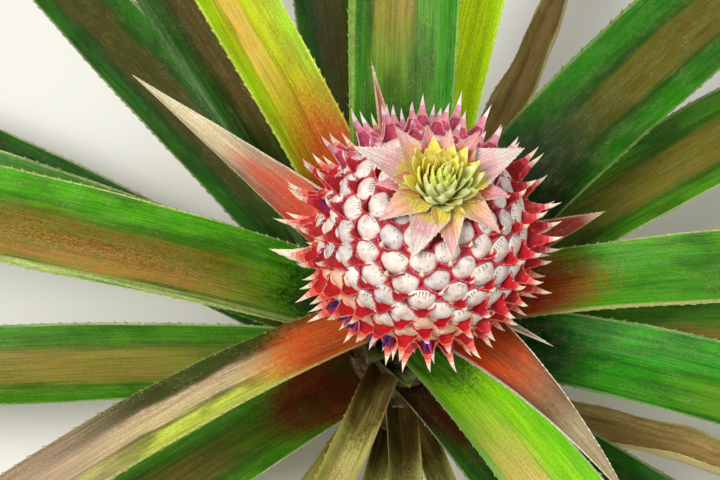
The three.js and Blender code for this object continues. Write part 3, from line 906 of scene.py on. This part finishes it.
# %% Stem and stalk shapes
def ridged_rod(bm, height, rings, sides, place):
    made = bmesh.ops.create_grid(bm, x_segments=sides, y_segments=rings, size=0.5)
    for v in made["verts"]:
        v.co = place((v.co.y + 0.5) * height, (v.co.x + 0.5) * math.tau) * MM
    bmesh.ops.remove_doubles(bm, verts=made["verts"], dist=1e-6)
    rims = [e for e in bm.edges if e.is_boundary]
    bmesh.ops.holes_fill(bm, edges=rims)


SCAR_STEP = 8.5  # between the rings that leaves left


def round_noise(angle, z, around, high):
    return noise.noise(Vector((math.cos(angle) * around, math.sin(angle) * around, z / high)))


def stem_place(z, angle):
    scar = (z / SCAR_STEP + 0.35 * math.sin(angle * 2 + 1) + angle / math.tau) % 1
    ridge = 1.6 * math.exp(-(((scar - 0.5) / 0.16) ** 2))
    fibre = 0.7 * round_noise(angle, z, 6, 14)
    inset = 0.0 if 1 < z < STEM_HEIGHT - 1 else 1.0
    around = Vector((math.cos(angle), math.sin(angle), 0))
    return around * (stem_radius(z) - 1.2 + ridge + fibre - inset) + UP * z


def stalk_place(z, angle):
    t = z / STALK_LENGTH
    point, turn = stalk_at(t)
    radius = between(*STALK_RADII, t) - 0.6
    radius += 0.5 * round_noise(angle, z, 3, 9)
    return point + turn @ Vector((math.cos(angle) * radius, math.sin(angle) * radius, 0))


print("the stem keeps the rings of", round(STEM_HEIGHT / SCAR_STEP), "fallen leaves")


# %% Bark and fibre material
def bark_material(name, light, deep, scale):
    material, tree, shader = new_material(name)
    spot = add(tree, "TexCoord", {}, 3)
    fibre = grain(tree, stretch(tree, spot, scale, scale, scale * 0.16), detail=6, rough=0.65)
    patch = grain(tree, spot, scale * 0.14, 3)
    colour = mix(tree, ramp(tree, fibre, 0.35, 0.68), paint(deep), paint(light))
    colour = mix(tree, ramp(tree, patch, 0.45, 0.7, 0.0, 0.6), colour, paint(deep))
    feed(tree, shader["Base Color"], colour)
    feed(tree, shader["Roughness"], ramp(tree, fibre, 0.3, 0.7, 0.7, 0.95))
    set_bump(tree, shader, fibre, 0.6)
    return material


bm = new_mesh()
ridged_rod(bm, STEM_HEIGHT, 110, 72, stem_place)
stem_bark = bark_material("stem_bark", "#a08458", "#4a3822", 420)
finish_piece("stem_core", bm, stem_bark, "stem")
bm = new_mesh()
ridged_rod(bm, STALK_LENGTH, 30, 40, stalk_place)
stalk_skin = bark_material("stalk_skin", "#b8685a", "#7a2c26", 500)
finish_piece("stalk_core", bm, stalk_skin, "fruit_stalk")
print("the stem is", STEM_HEIGHT, "mm high and the stalk", STALK_LENGTH, "mm long")

# %% [markdown]
# Where the stem ends, short scale leaves stand close round it, green ones below and red
# ones above. They are small plain blades, made by the same builder.

# %% Scale leaves
SCALES = 18
SCALE_SIZES = {  # of the lowest and the highest scale leaf
    "length": (52, 24), "width": (44, 17), "rise": (58, 52), "droop": (8, 26),
}
SCALE_HEIGHTS = (108, 160)
SCALE = dict(BLADE, form="scale", sweep=0, clasp=12, fold=50, foot_fold=20, thick=1.2,
             thin=0.4, furrow=0.1, wave=1.5)
scales = {"green": new_mesh(), "red": new_mesh()}
for i in range(SCALES):
    share = i / (SCALES - 1)
    height = between(*SCALE_HEIGHTS, share)
    sizes = {key: between(*ends, share) for key, ends in SCALE_SIZES.items()}
    scale = dict(SCALE, **sizes, azimuth=i * GOLDEN_ANGLE, seed=i + 120)
    scale.update(seat=Vector((0, 0, height - 6)), radius=stem_radius(height) - 1)
    add_blade(scales["red" if share > 0.5 else "green"], scale, 14, 6)
scale_paints = {"green": ("#7c8c34", "#4c4a1c"), "red": ("#a8483a", "#5a2014")}
for tint, (light, deep) in scale_paints.items():
    material = bark_material("scale_" + tint, light, deep, 260)
    finish_piece(f"stem_{tint}_scales", scales[tint], material, "stem")
print(SCALES, "scale leaves")

# %% [markdown]
# ## Fruit finishes
# Each eye of the young fruit is a plump cream berry in a crimson cup, whose salmon edges
# run out into a pale spine. On a joined piece a pattern can't be trusted to fall on the
# right eye after the export, so every colour that has a place is a piece of its own with a
# plain colour, and only a fine unevenness comes from Object coordinates. One node group
# makes that unevenness for all of them.

# %% Fine unevenness group
uneven_skin, given, wanted = new_group("Fine unevenness", {
    "Light": "#ffffff", "Deep": "#808080", "Scale": 300.0, "Low": 0.4, "High": 0.7,
    "Specks": "#808080", "Speck Amount": 0.0,
})
spot = add(uneven_skin, "TexCoord", {}, 3)
coarse = grain(uneven_skin, spot, given["Scale"], 4, 0.6)
limits = {"Value": coarse, "From Min": given["Low"], "From Max": given["High"]}
share = add(uneven_skin, "MapRange", limits)
colour = mix(uneven_skin, share, given["Light"], given["Deep"])
finer = times(uneven_skin, given["Scale"], 3.1)
dots = ramp(uneven_skin, grain(uneven_skin, spot, finer, 2), 0.6, 0.7)
dots = times(uneven_skin, dots, given["Speck Amount"])
height = minus(uneven_skin, coarse, times(uneven_skin, dots, 0.4))
feed(uneven_skin, wanted["Color"], mix(uneven_skin, dots, colour, given["Specks"]))
feed(uneven_skin, wanted["Roughness"], ramp(uneven_skin, coarse, 0.3, 0.7, 0.42, 0.6))
feed(uneven_skin, wanted["Height"], height)
print("the fine unevenness has", len(uneven_skin.nodes), "nodes")


# %% Fruit finishes
def flesh_material(name, light, deep, scale=300.0, specks="#808080", amount=0.0, low=0.4, high=0.7):
    values = {"Light": light, "Deep": deep, "Scale": scale, "Low": low, "High": high,
              "Specks": specks, "Speck Amount": amount}
    return group_material(name, uneven_skin, values, 0.35, 0.7)[0]


FLESH_LOOKS = {  # light, deep, scale of the noise, specks and their amount, limits of the noise
    "fruit_flesh": ("#8a1420", "#4c0a12", 250),
    "berry_cream": ("#e4dcd0", "#c9a89c", 190, "#9c9188", 0.8, 0.46, 0.74),
    "berry_grey": ("#d8d2cc", "#b8a49e", 210, "#857d78", 0.9, 0.42, 0.7),
    "berry_rose": ("#e4cfc8", "#cf9a9c", 190, "#f0e4de", 0.5),
    # the caps' dark grey is painted shade along the tops of the upper berries, under the bracts above
    "berry_top_shade": ("#8a7d74", "#54463f", 300),
    "berry_peach": ("#eccaaa", "#d89a80", 170, "#a87058", 0.5),
    "berry_crimson_rim": ("#cf4a56", "#a81e30", 260, "#e8b0b0", 0.4),
    "berry_crack": ("#8f8278", "#5f534b", 500),
    "bract_crimson": ("#c4101c", "#860814", 260, "#dc5a64", 0.3),
    "bract_mauve": ("#c24866", "#8e2844", 260, "#e4a0b0", 0.4),
    "bract_edge": ("#e4745a", "#cc3c34", 300, "#f0b89c", 0.35),
    "bract_pink_edge": ("#e09aa0", "#c8607a", 300, "#f0ccc8", 0.3),
    "bract_rose_lip": ("#d83c4c", "#b4182c", 300, "#f0a0a0", 0.35),
    "bract_blush": ("#ecaa96", "#dc8474", 300, "#f4d4c4", 0.3),
    "bract_spine": ("#f2e8cc", "#e2bca0", 300),
    "bract_mauve_blush": ("#dc9cae", "#c27c94", 300, "#ecc8d0", 0.3),
    "bract_pale_spine": ("#f0e2dc", "#dcb8bc", 300),
    "petal_violet": ("#2f1474", "#1a0c48", 300),
    "petal_magenta": ("#9c1678", "#5c0e4c", 300),
    "bud_yellow": ("#faee7c", "#e2d44c", 260, "#fbf6c8", 0.5),
    "bud_lime": ("#eaee7c", "#c6d050", 260, "#f4f6c8", 0.5),
    "bud_pale_green": ("#eaeaac", "#c2c870", 260, "#f4f6d0", 0.5),
    "bud_tip": ("#ecefc4", "#cfd692", 300),
    "crown_core_skin": ("#a8a838", "#6e7a20"),
}
FINISHES = {name: flesh_material(name, *look) for name, look in FLESH_LOOKS.items()}
print(len(FINISHES), "finishes for the fruit and its crown")

# %% [markdown]
# ## The fruit's eyes
# The eyes sit on the flesh at the golden angle, as seeds do on a sunflower, which gives the
# crossing spirals of a real fruit. The source uses 124 large eyes, and here the same rule
# deals out finer ones. Each part of an eye is modelled once, facing along X with Z towards
# the crown, then copied to every eye with a little wobble.

# %% Eye frames
EYES = 212
LOWEST, HIGHEST = -0.87, 0.91  # shares of the half height
BERRY_HALF = 6.9  # half the width of a berry
head_point, head_turn = stalk_at(1)
HEAD = Matrix.LocRotScale(head_point, head_turn, None)
FRUIT_RAISED = FRUIT_HALF_HEIGHT * SEAT_SHARE + JOIN_GAP


def turned(degrees, axis):
    return Matrix.Rotation(math.radians(degrees), 4, axis)


def eye_frame(share, azimuth):
    """X out of the flesh, Y round the fruit, Z towards the crown, in millimetres."""
    flat_share = math.sqrt(1 - share * share)
    out = outwards(azimuth)
    point = out * FRUIT_RADIUS * flat_share + UP * FRUIT_HALF_HEIGHT * share
    normal = (out * flat_share / FRUIT_RADIUS + UP * share / FRUIT_HALF_HEIGHT).normalized()
    side = UP.cross(out)
    rise = normal.cross(side)
    turn = Matrix((normal, side, rise)).transposed().to_4x4()
    return HEAD @ Matrix.Translation(point + UP * FRUIT_RAISED) @ turn


print("the fruit's middle is", round(FRUIT_RAISED, 1), "mm above the stalk")


# %% [markdown]
# The eyes at the back are mauve and rosy, as the upper rim of the fruit shows. The bracts
# get shorter round the crown and low down, and those that face the viewer stay short and
# lie up against their berries, so that they show as thin outlines round them.

# %% Deal out the eyes
BACK_AZIMUTH = 88
NEAR_AZIMUTH = -84


def bract_length(share, near, back):
    shrink = 0.12 if back else 0.45
    long = 1 - shrink * max(0, share - 0.62) / 0.3
    long *= 1 - 0.34 * min(1, max(0, -0.05 - share) / 0.4)
    return long * (1 - 0.3 * near)


rng = random.Random(11)
EYE_PLACES = []
for i in range(EYES):
    share = LOWEST + (HIGHEST - LOWEST) * (i + 0.5) / EYES
    azimuth = i * GOLDEN_ANGLE
    size = (0.84 + 0.16 * math.sqrt(1 - share * share)) * rng.uniform(0.94, 1.05)
    place = eye_frame(share, azimuth) @ turned(rng.uniform(-7, 7), "X") @ Matrix.Scale(size, 4)
    facing = math.cos(math.radians(azimuth - BACK_AZIMUTH)) + rng.uniform(-0.2, 0.2)
    back = facing > 0.78 - share * 0.45 and share > 0.05
    near = max(0, math.cos(math.radians(azimuth - NEAR_AZIMUTH)))
    near *= min(1, max(0, share + 0.16) / 0.2)
    bend = turned(rng.uniform(-9, 9), "Z") @ turned(rng.uniform(-10, 8), "Y")
    long = rng.uniform(0.8, 1.16) * bract_length(share, near, back)
    bract = place @ turned(-11 * near, "Y") @ bend @ Matrix.Diagonal((long, 1, 1, 1))
    EYE_PLACES.append((place, bract, share, back))
print(EYES, "eyes,", sum(back for place, bract, share, back in EYE_PLACES), "of them at the back")


# %% Templates and copies
def in_metres(place):
    return Matrix.Scale(MM, 4) @ place


def template_mesh(bm, name):
    bmesh.ops.recalc_face_normals(bm, faces=bm.faces)
    mesh = bpy.data.meshes.new(name)
    bm.to_mesh(mesh)
    bm.free()
    return mesh


def scatter(bm, template, places):
    """Copies a template mesh, modelled in millimetres, to each place."""
    for place in places:
        count = len(bm.verts)
        bm.from_mesh(template)
        bm.verts.ensure_lookup_table()
        bmesh.ops.transform(bm, matrix=in_metres(place), verts=bm.verts[count:])


# %% [markdown]
# A berry starts as a sphere. Powers below one of its coordinates make it squarer, most of
# all at its top, and its foot is pinched. The cracks are thin wedges on its upper half.

# %% Berry template
SQUARE = 0.62  # power that squares the berry's sides and its dome
TOP_SQUARE = 0.5
FOOT_SQUARE = 0.86
TOP_HEIGHT = 0.86  # the upper half's height as a share of the width
BERRY_DEPTH = 5.0


def powered(value, power):
    return math.copysign(abs(value) ** power, value)


def berry_depth(out, rise):
    """The height over the flesh of a place on the berry, from the unit sphere's place."""
    depth = BERRY_DEPTH * powered(out, SQUARE) - 0.9
    if out > 0:
        depth += 0.7 * max(0, rise) ** 3 - 0.9 * max(0, -rise) ** 2
    return depth


def berry_template(grow=1.0, sunk=1.0):
    bm = new_mesh()
    bmesh.ops.create_uvsphere(bm, u_segments=16, v_segments=6, radius=1)
    for v in bm.verts:
        out, side, rise = v.co.z, v.co.x, v.co.y
        pinch = 1 - 0.05 * max(0, rise) - 0.16 * max(0, -rise)
        wide = powered(side, SQUARE) * BERRY_HALF * pinch * grow
        high = BERRY_HALF * (TOP_HEIGHT if rise > 0 else 1.0)
        high = powered(rise, TOP_SQUARE if rise > 0 else FOOT_SQUARE) * high * grow
        v.co = Vector((berry_depth(out, rise) * sunk, wide, high))
    return template_mesh(bm, "berry")


print("a berry stands", round(berry_depth(1, 0), 1), "mm over the flesh")


# %% Crack template
def on_berry(side, up):
    across = abs(side / BERRY_HALF) ** (1 / SQUARE)
    rise = (up / BERRY_HALF / TOP_HEIGHT) ** (1 / TOP_SQUARE)
    out = math.sqrt(max(0.02, 1 - across * across - rise * rise))
    return Vector((berry_depth(out, rise), side, up))


def crack_template(*slits):
    """Each slit is given by its top and its foot: side and height, side and height."""
    bm = new_mesh()
    for top_side, top, foot_side, foot in slits:
        high, low = on_berry(top_side, top), on_berry(foot_side, foot)
        way = high - low
        turn = way.to_track_quat("Z", "Y").to_matrix().to_4x4()
        place = Matrix.Translation(high.lerp(low, 0.5) + Vector((0.12, 0, 0))) @ turn
        bmesh.ops.create_cone(bm, cap_ends=True, segments=4, radius1=0.05, radius2=0.26,
                              depth=way.length, matrix=place)
    return template_mesh(bm, "crack")


# %% [markdown]
# A bract is a blade too: short, folded into a cup round the lower half of its berry, and
# drawn out to a spine. The blade builder makes it from overlapping stretches: the crimson
# cup, its salmon margins and middle, a paler blush, and the pale spine. Each outer stretch
# is a little thicker than the one below it. The teeth on the margins are thorns.

# %% Bract templates
BRACT = dict(BLADE, form="bract", azimuth=0, length=25, width=15.6, rise=-15, droop=-46, sweep=0,
             seat=Vector((0, 0, -BERRY_HALF)), radius=-3.5, clasp=3, fold=68, foot_fold=0,
             thick=0.7, thin=0.4, furrow=0, wave=0, crumple=0, seed=3)
BRACT_TEETH_END = 0.66


def millimetre_template(bm, name):
    bmesh.ops.scale(bm, vec=(1 / MM, 1 / MM, 1 / MM), verts=bm.verts)
    return template_mesh(bm, name)


def bract_template(name, grow, *stretches):
    """A stretch is given by rings, columns, its reach along and its span across."""
    bm = new_mesh()
    for rings, columns, reach, span in stretches:
        add_blade(bm, BRACT, rings, columns, grow, reach, span)
    return millimetre_template(bm, name)


def teeth_template():
    bm = new_mesh()
    add_thorns(bm, BRACT, midline(BRACT), 3.4, 1.5, random.Random(5), BRACT_TEETH_END)
    return millimetre_template(bm, "teeth")


print("a bract is", BRACT["length"], "mm long")


# %% All templates
TEMPLATES = {
    "berry": berry_template(0.97),
    "berry_rim": berry_template(1.08, 0.74),
    "cap": berry_template(0.95, 0.93),
    "crack_few": crack_template(
        (-2.0, 4.9, -1.7, 3.2), (0.3, 5.1, 0.2, 2.7), (2.3, 4.8, 2.0, 3.4),
    ),
    "crack_many": crack_template(
        (-3.2, 4.4, -2.7, 3.0), (-1.7, 5.0, -1.5, 2.4), (-0.2, 5.1, -0.2, 3.0),
        (1.3, 5.0, 1.1, 2.0), (2.9, 4.6, 2.5, 3.1),
    ),
    "crack_left": crack_template(
        (3.7, 3.9, 3.0, 2.6), (2.5, 4.7, 2.1, 3.5), (1.2, 5.1, 1.1, 4.1),
    ),
    "crack_right": crack_template(
        (-3.9, 3.5, -3.3, 1.9), (-2.9, 4.5, -2.3, 2.7), (-1.6, 5.0, -1.3, 4.0),
        (0.4, 5.1, 0.3, 4.3),
    ),
    "cup": bract_template("cup", 0.0, (7, 4, (0.0, 0.56), (-0.92, 0.92))),
    "edge": bract_template(
        "edge", 0.12, (5, 2, (0.1, 0.58), (-1.08, -0.86)), (5, 2, (0.1, 0.58), (0.86, 1.08)),
        (4, 3, (0.53, 0.7), (-1.05, 1.05)),
    ),
    "blush": bract_template("blush", 0.16, (3, 3, (0.66, 0.8), (-1.08, 1.08))),
    "spine": bract_template("spine", 0.2, (4, 3, (0.75, 1.0), (-1.1, 1.1))),
    "teeth": teeth_template(),
}
for name, mesh in TEMPLATES.items():
    print(name, "template has", len(mesh.polygons), "faces")

# %% Fruit flesh
bm = new_mesh()
bmesh.ops.create_uvsphere(bm, u_segments=48, v_segments=32, radius=1)
for v in bm.verts:
    bump = 1 + 0.012 * noise.noise(v.co * 9)
    seat = max(-SEAT_SHARE, min(SEAT_SHARE, v.co.z))
    v.co = Vector((v.co.x * FRUIT_RADIUS * bump, v.co.y * FRUIT_RADIUS * bump,
                   seat * FRUIT_HALF_HEIGHT))
flesh_place = in_metres(HEAD @ Matrix.Translation((0, 0, FRUIT_RAISED)))
bmesh.ops.transform(bm, matrix=flesh_place, verts=bm.verts)
finish_piece("fruit_flesh", bm, FINISHES["fruit_flesh"], "fruit")
print("the flesh is", 2 * FRUIT_RADIUS, "mm across")

# %% [markdown]
# The berries change from peach low down to cream, with crimson rims, and the upper ones
# have dark cracks and dark grey caps that show along their tops as painted shade under
# the bracts above. The bracts' edges change from salmon to rose. Three in a row differ a
# little in where they change, so no straight line shows between the colours.

# %% Sort the eyes by colour
LOW = 0.12  # the berries below this are peach
LOW_EDGE = 0.26  # the bracts below this have salmon edges
CRACKED = 0.2  # the berries above this have caps and cracks
front, rear, low_front, high_front = [], [], [], []
upper, lower, light, rosy, cracked = [], [], [], [], []
for i, (place, bract, share, back) in enumerate(EYE_PLACES):
    shift = i % 3 - 1
    high = share > LOW + 0.08 * shift
    (upper if high else lower).append(place)
    if share > CRACKED:
        cracked.append(place)
    if back:
        rosy.append(place)
        rear.append(bract)
        continue
    front.append(bract)
    (low_front if share < LOW_EDGE + 0.16 * shift else high_front).append(bract)
    if high:
        light.append(place)
# Dark grey caps, raised a little behind each upper berry, show along its top as painted shade under
# the bract above.
raised = [place @ Matrix.Translation((-0.3, 0, 0.55)) for place in cracked]
tilted = [place @ turned(rng.uniform(-9, 9), "X") for place in cracked]
print(len(front), "bracts in front and", len(rear), "behind;", len(cracked), "cracked berries")

# %% Berries and bracts
EYE_PIECES = [  # name, template, finish, places
    ("berries", "berry", "berry_cream", light[::2] + light[3::4]),
    ("grey_berries", "berry", "berry_grey", light[1::4]),
    ("back_berries", "berry", "berry_rose", rosy),
    ("berry_caps", "cap", "berry_top_shade", raised),
    ("low_berries", "berry", "berry_peach", lower),
    ("berry_rims", "berry_rim", "berry_crimson_rim", upper),
    ("berry_cracks", "crack_few", "berry_crack", tilted[::6]),
    ("berry_splits", "crack_many", "berry_crack", tilted[2::6]),
    ("berry_left_cracks", "crack_left", "berry_crack", tilted[4::6] + tilted[1::6]),
    ("berry_right_cracks", "crack_right", "berry_crack", tilted[3::6]),
    ("bract_cups", "cup", "bract_crimson", front),
    ("back_bract_cups", "cup", "bract_mauve", rear),
    ("bract_edges", "edge", "bract_edge", low_front),
    ("upper_bract_edges", "edge", "bract_rose_lip", high_front),
    ("back_bract_edges", "edge", "bract_pink_edge", rear),
    ("bract_blushes", "blush", "bract_blush", front),
    ("back_bract_blushes", "blush", "bract_mauve_blush", rear),
    ("bract_spines", "spine", "bract_spine", front),
    ("back_bract_spines", "spine", "bract_pale_spine", rear),
    ("bract_teeth", "teeth", "bract_blush", front),
    ("back_bract_teeth", "teeth", "bract_mauve_blush", rear),
]
for name, template, finish, places in EYE_PIECES:
    bm = new_mesh()
    scatter(bm, TEMPLATES[template], places)
    piece = finish_piece("fruit_" + name, bm, FINISHES[finish], "fruit")
    print(piece.name, "has", len(piece.data.polygons), "faces on", len(places), "eyes")

# %% [markdown]
# ## The crown
# On top stands the bud of the future crown: short leaflets in a tight spiral, yellow-green
# and upright in the middle, and round them broad ones that spread, peach, rose and lilac.
# They are blades again, set round a small dome.

# %% Crown blades
CROWN_RAISED = FRUIT_RAISED + FRUIT_HALF_HEIGHT * SEAT_SHARE + JOIN_GAP
CROWN = HEAD @ Matrix.Translation((0, 0, CROWN_RAISED))
BUD = dict(BLADE, form="bud", crumple=0.4, sweep=0, clasp=4, fold=46, foot_fold=0, thick=0.7,
           thin=0.3, furrow=0, wave=0)
BUD_RADIUS = 10.4
BUD_FOOT, BUD_HEIGHT = 3.0, 12.5


def crown_leaf(number, inner, form, *sizes):
    """A blade at the edge of the bud, where inner is 0, or up to its middle, 1."""
    seat = Vector((0, 0, BUD_FOOT + BUD_HEIGHT * inner))
    radius = BUD_RADIUS * math.cos(math.radians(inner * 86))
    leaf = dict(BUD, **dict(zip(KEYS, sizes)), form=form, seat=seat)
    return dict(leaf, radius=radius, seed=number + 90)


def move_to_crown(bm, verts):
    move = Matrix.Scale(MM, 4) @ CROWN @ Matrix.Scale(1 / MM, 4)
    bmesh.ops.transform(bm, matrix=move, verts=verts)


print("the crown starts", round(CROWN_RAISED, 1), "mm above the stalk")


# %% Crown bud
BUD_LEAFLETS = 58
BUD_FINISHES = {"yellow": "bud_yellow", "lime": "bud_lime", "pale": "bud_pale_green", "tip": "bud_tip"}
rng = random.Random(23)
meshes = {key: new_mesh() for key in BUD_FINISHES}
for i in range(BUD_LEAFLETS):
    inner = i / (BUD_LEAFLETS - 1)
    azimuth = i * GOLDEN_ANGLE
    facing = math.cos(math.radians(azimuth + 80)) + rng.uniform(-0.3, 0.3)
    key = "pale" if facing > 0.3 and inner < 0.55 else "lime" if facing > 0.1 else "yellow"
    rise = between(34, 84, inner**0.8) + rng.uniform(-8, 7)
    length = between(16, 8.5, inner) * rng.uniform(0.8, 1.16)
    width, droop = between(10.2, 4.8, inner), -between(56, 12, inner)
    leaf = crown_leaf(i, inner, "bud", azimuth, length, width, rise, droop)
    verts, places = add_blade(meshes[key], leaf, 8, 3)
    move_to_crown(meshes[key], verts)
    verts, places = add_blade(meshes["tip"], leaf, 3, 2, 0.12, (0.84, 1.0))
    move_to_crown(meshes["tip"], verts)
for key, finish in BUD_FINISHES.items():
    finish_piece("crown_bud_" + key, meshes[key], FINISHES[finish], "crown")

bm = new_mesh()
bmesh.ops.create_uvsphere(bm, u_segments=20, v_segments=12, radius=1)
for v in bm.verts:
    v.co = Vector((v.co.x * 9.5, v.co.y * 9.5, max(0.0, v.co.z) * 14))
bmesh.ops.transform(bm, matrix=in_metres(CROWN), verts=bm.verts)
finish_piece("crown_core", bm, FINISHES["crown_core_skin"], "crown")
print("the bud has", BUD_LEAFLETS, "leaflets")

# %% [markdown]
# The spreading leaflets are few and show well, so each is a piece of its own and can carry
# the leaf skin, with a gradient from its yellow foot to its lavender tip.

# %% Spreading leaflets of the crown
RING_LOOKS = {
    "peach": {
        "Green": "#deac94", "Edge Green": "#e6c0ae", "Shade": "#bc7c6c", "Foot": "#dccc5c",
        "Tip": "#d8a8b4",
    },
    "lilac": {
        "Green": "#d8aab8", "Edge Green": "#dcc0cc", "Shade": "#b4849c", "Foot": "#d4c644",
        "Tip": "#cfc2ce",
    },
    "rose": {
        "Green": "#d88c80", "Edge Green": "#e0a898", "Shade": "#a84838", "Foot": "#d8b050",
        "Tip": "#cc90a4",
    },
}
RING_LOOK = {
    "Stripe Amount": 0.0, "Foot Reach": 0.34, "Tip Start": 0.5, "Rim": "#e8d4ce",
    "Fleck": "#f0e2d4", "Fleck Amount": 0.4, "Back": "#c8848a",
}
RING_LEAFLETS = [  # azimuth, length, width, rise, droop, look
    (25, 32, 24, 12, -4, "lilac"),
    (-8, 21, 16, 8, 10, "rose"),
    (-38, 24, 17, 4, 24, "peach"),
    (-80, 23, 17, -2, 34, "peach"),
    (-110, 26, 21, -4, 28, "lilac"),
    (-146, 23, 19, 5, 20, "peach"),
    (-174, 20, 15, 14, 10, "rose"),
    (160, 32, 23, 8, -2, "lilac"),
    (134, 24, 18, 24, -8, "peach"),
    (108, 20, 16, 36, -8, "rose"),
    (82, 18, 15, 38, -8, "peach"),
    (54, 22, 17, 30, -8, "rose"),
]
for i, (*sizes, look) in enumerate(RING_LEAFLETS):
    name = f"crown_leaflet_{i + 1:02d}"
    leaf = crown_leaf(i, 0.0, "crown", *sizes)
    bm = new_mesh()
    verts, places = add_blade(bm, leaf, 16, 6)
    verts += add_thorns(bm, leaf, places, 2.0, 1.3, random.Random(i))
    move_to_crown(bm, verts)
    material = leaf_material(name + "_skin", dict(RING_LOOK, **RING_LOOKS[look]), 80 + i)
    finish_piece(name, bm, material, "crown")
print(len(RING_LEAFLETS), "spreading leaflets")

# %% [markdown]
# ## Petals
# A few flowers are open, most of them low down: narrow petals that stand out between a
# berry and its bract. Each has a violet and a magenta petal, small cones that lean apart.

# %% Petals
PETAL_LEANS = {"violet": -9, "magenta": 11}
FLOWERS = (44, 54, 62, 75, 78, 83, 88, 161, 98, 60, 69, 91)  # eyes with an open flower
for colour, lean in PETAL_LEANS.items():
    bm = new_mesh()
    place = Matrix.Translation((6.6, lean * 0.12, -2.8)) @ turned(lean, "Z") @ turned(82, "Y")
    bmesh.ops.create_cone(bm, cap_ends=True, segments=7, radius1=1.6, radius2=0.4, depth=7,
                          matrix=place)
    petal = template_mesh(bm, "petal_" + colour)
    bm = new_mesh()
    scatter(bm, petal, [EYE_PLACES[i][0] for i in FLOWERS])
    finish_piece(f"fruit_{colour}_petals", bm, FINISHES["petal_" + colour], "fruit")
print(len(FLOWERS), "open flowers")

# %% [markdown]
# ## Floor and light
# The plant stands on a plain pale floor. One large soft light from above and the left
# shapes the leaves, a second from the right fills the shadows, and a third from behind and
# a pale sky lift the rest, so that no leaf goes black.

# %% Floor
FLOOR_HALF = 15  # metres
bm = bmesh.new()
bmesh.ops.create_grid(bm, x_segments=1, y_segments=1, size=FLOOR_HALF)
floor_mesh = bpy.data.meshes.new("floor")
bm.to_mesh(floor_mesh)
bm.free()
floor = bpy.data.objects.new("floor", floor_mesh)
bpy.context.scene.collection.objects.link(floor)
floor.location.z = -0.5 * MM
floor_material, tree, shader = new_material("floor_paint")
shader["Base Color"].default_value = paint("#e4e2dc")
shader["Roughness"].default_value = 0.9
floor_mesh.materials.append(floor_material)
floor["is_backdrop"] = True
print("the floor is", 2 * FLOOR_HALF, "m wide")

# %% Light
LIGHT_AIM = Vector((0, 0, 0.2))
LIGHTS = {  # place and size in metres, and power in watts
    "key_light": ((-1.0, -0.6, 2.0), 0.8, 46),
    "fill_light": ((1.6, -1.0, 1.4), 1.6, 16),
    "rim_light": ((0.4, 1.9, 1.6), 1.4, 16),
}
for name, (place, size, power) in LIGHTS.items():
    data = bpy.data.lights.new(name, "AREA")
    data.size = size
    data.energy = power
    light = bpy.data.objects.new(name, data)
    bpy.context.scene.collection.objects.link(light)
    light.location = place
    light.rotation_mode = "QUATERNION"
    light.rotation_quaternion = (LIGHT_AIM - Vector(place)).to_track_quat("-Z", "Y")
world = bpy.data.worlds.new("pale_sky")
bpy.context.scene.world = world
world.use_nodes = True
sky = world.node_tree.nodes["Background"].inputs
sky["Color"].default_value = (1.0, 0.98, 0.94, 1)
sky["Strength"].default_value = 0.36
bpy.context.scene.view_settings.view_transform = "Standard"
print(len(LIGHTS), "soft lights and a pale sky")

# %% Sizes and finish
visual_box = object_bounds()
sizes = {"cad": [list(c) for c in cad_box], "visual": [list(c) for c in visual_box]}
for axis, name in enumerate("xyz"):
    low = (cad_box[0][axis] - visual_box[0][axis]) / MM
    high = (visual_box[1][axis] - cad_box[1][axis]) / MM
    print(name, "stands proud by", round(low, 1), "and", round(high, 1), "mm")
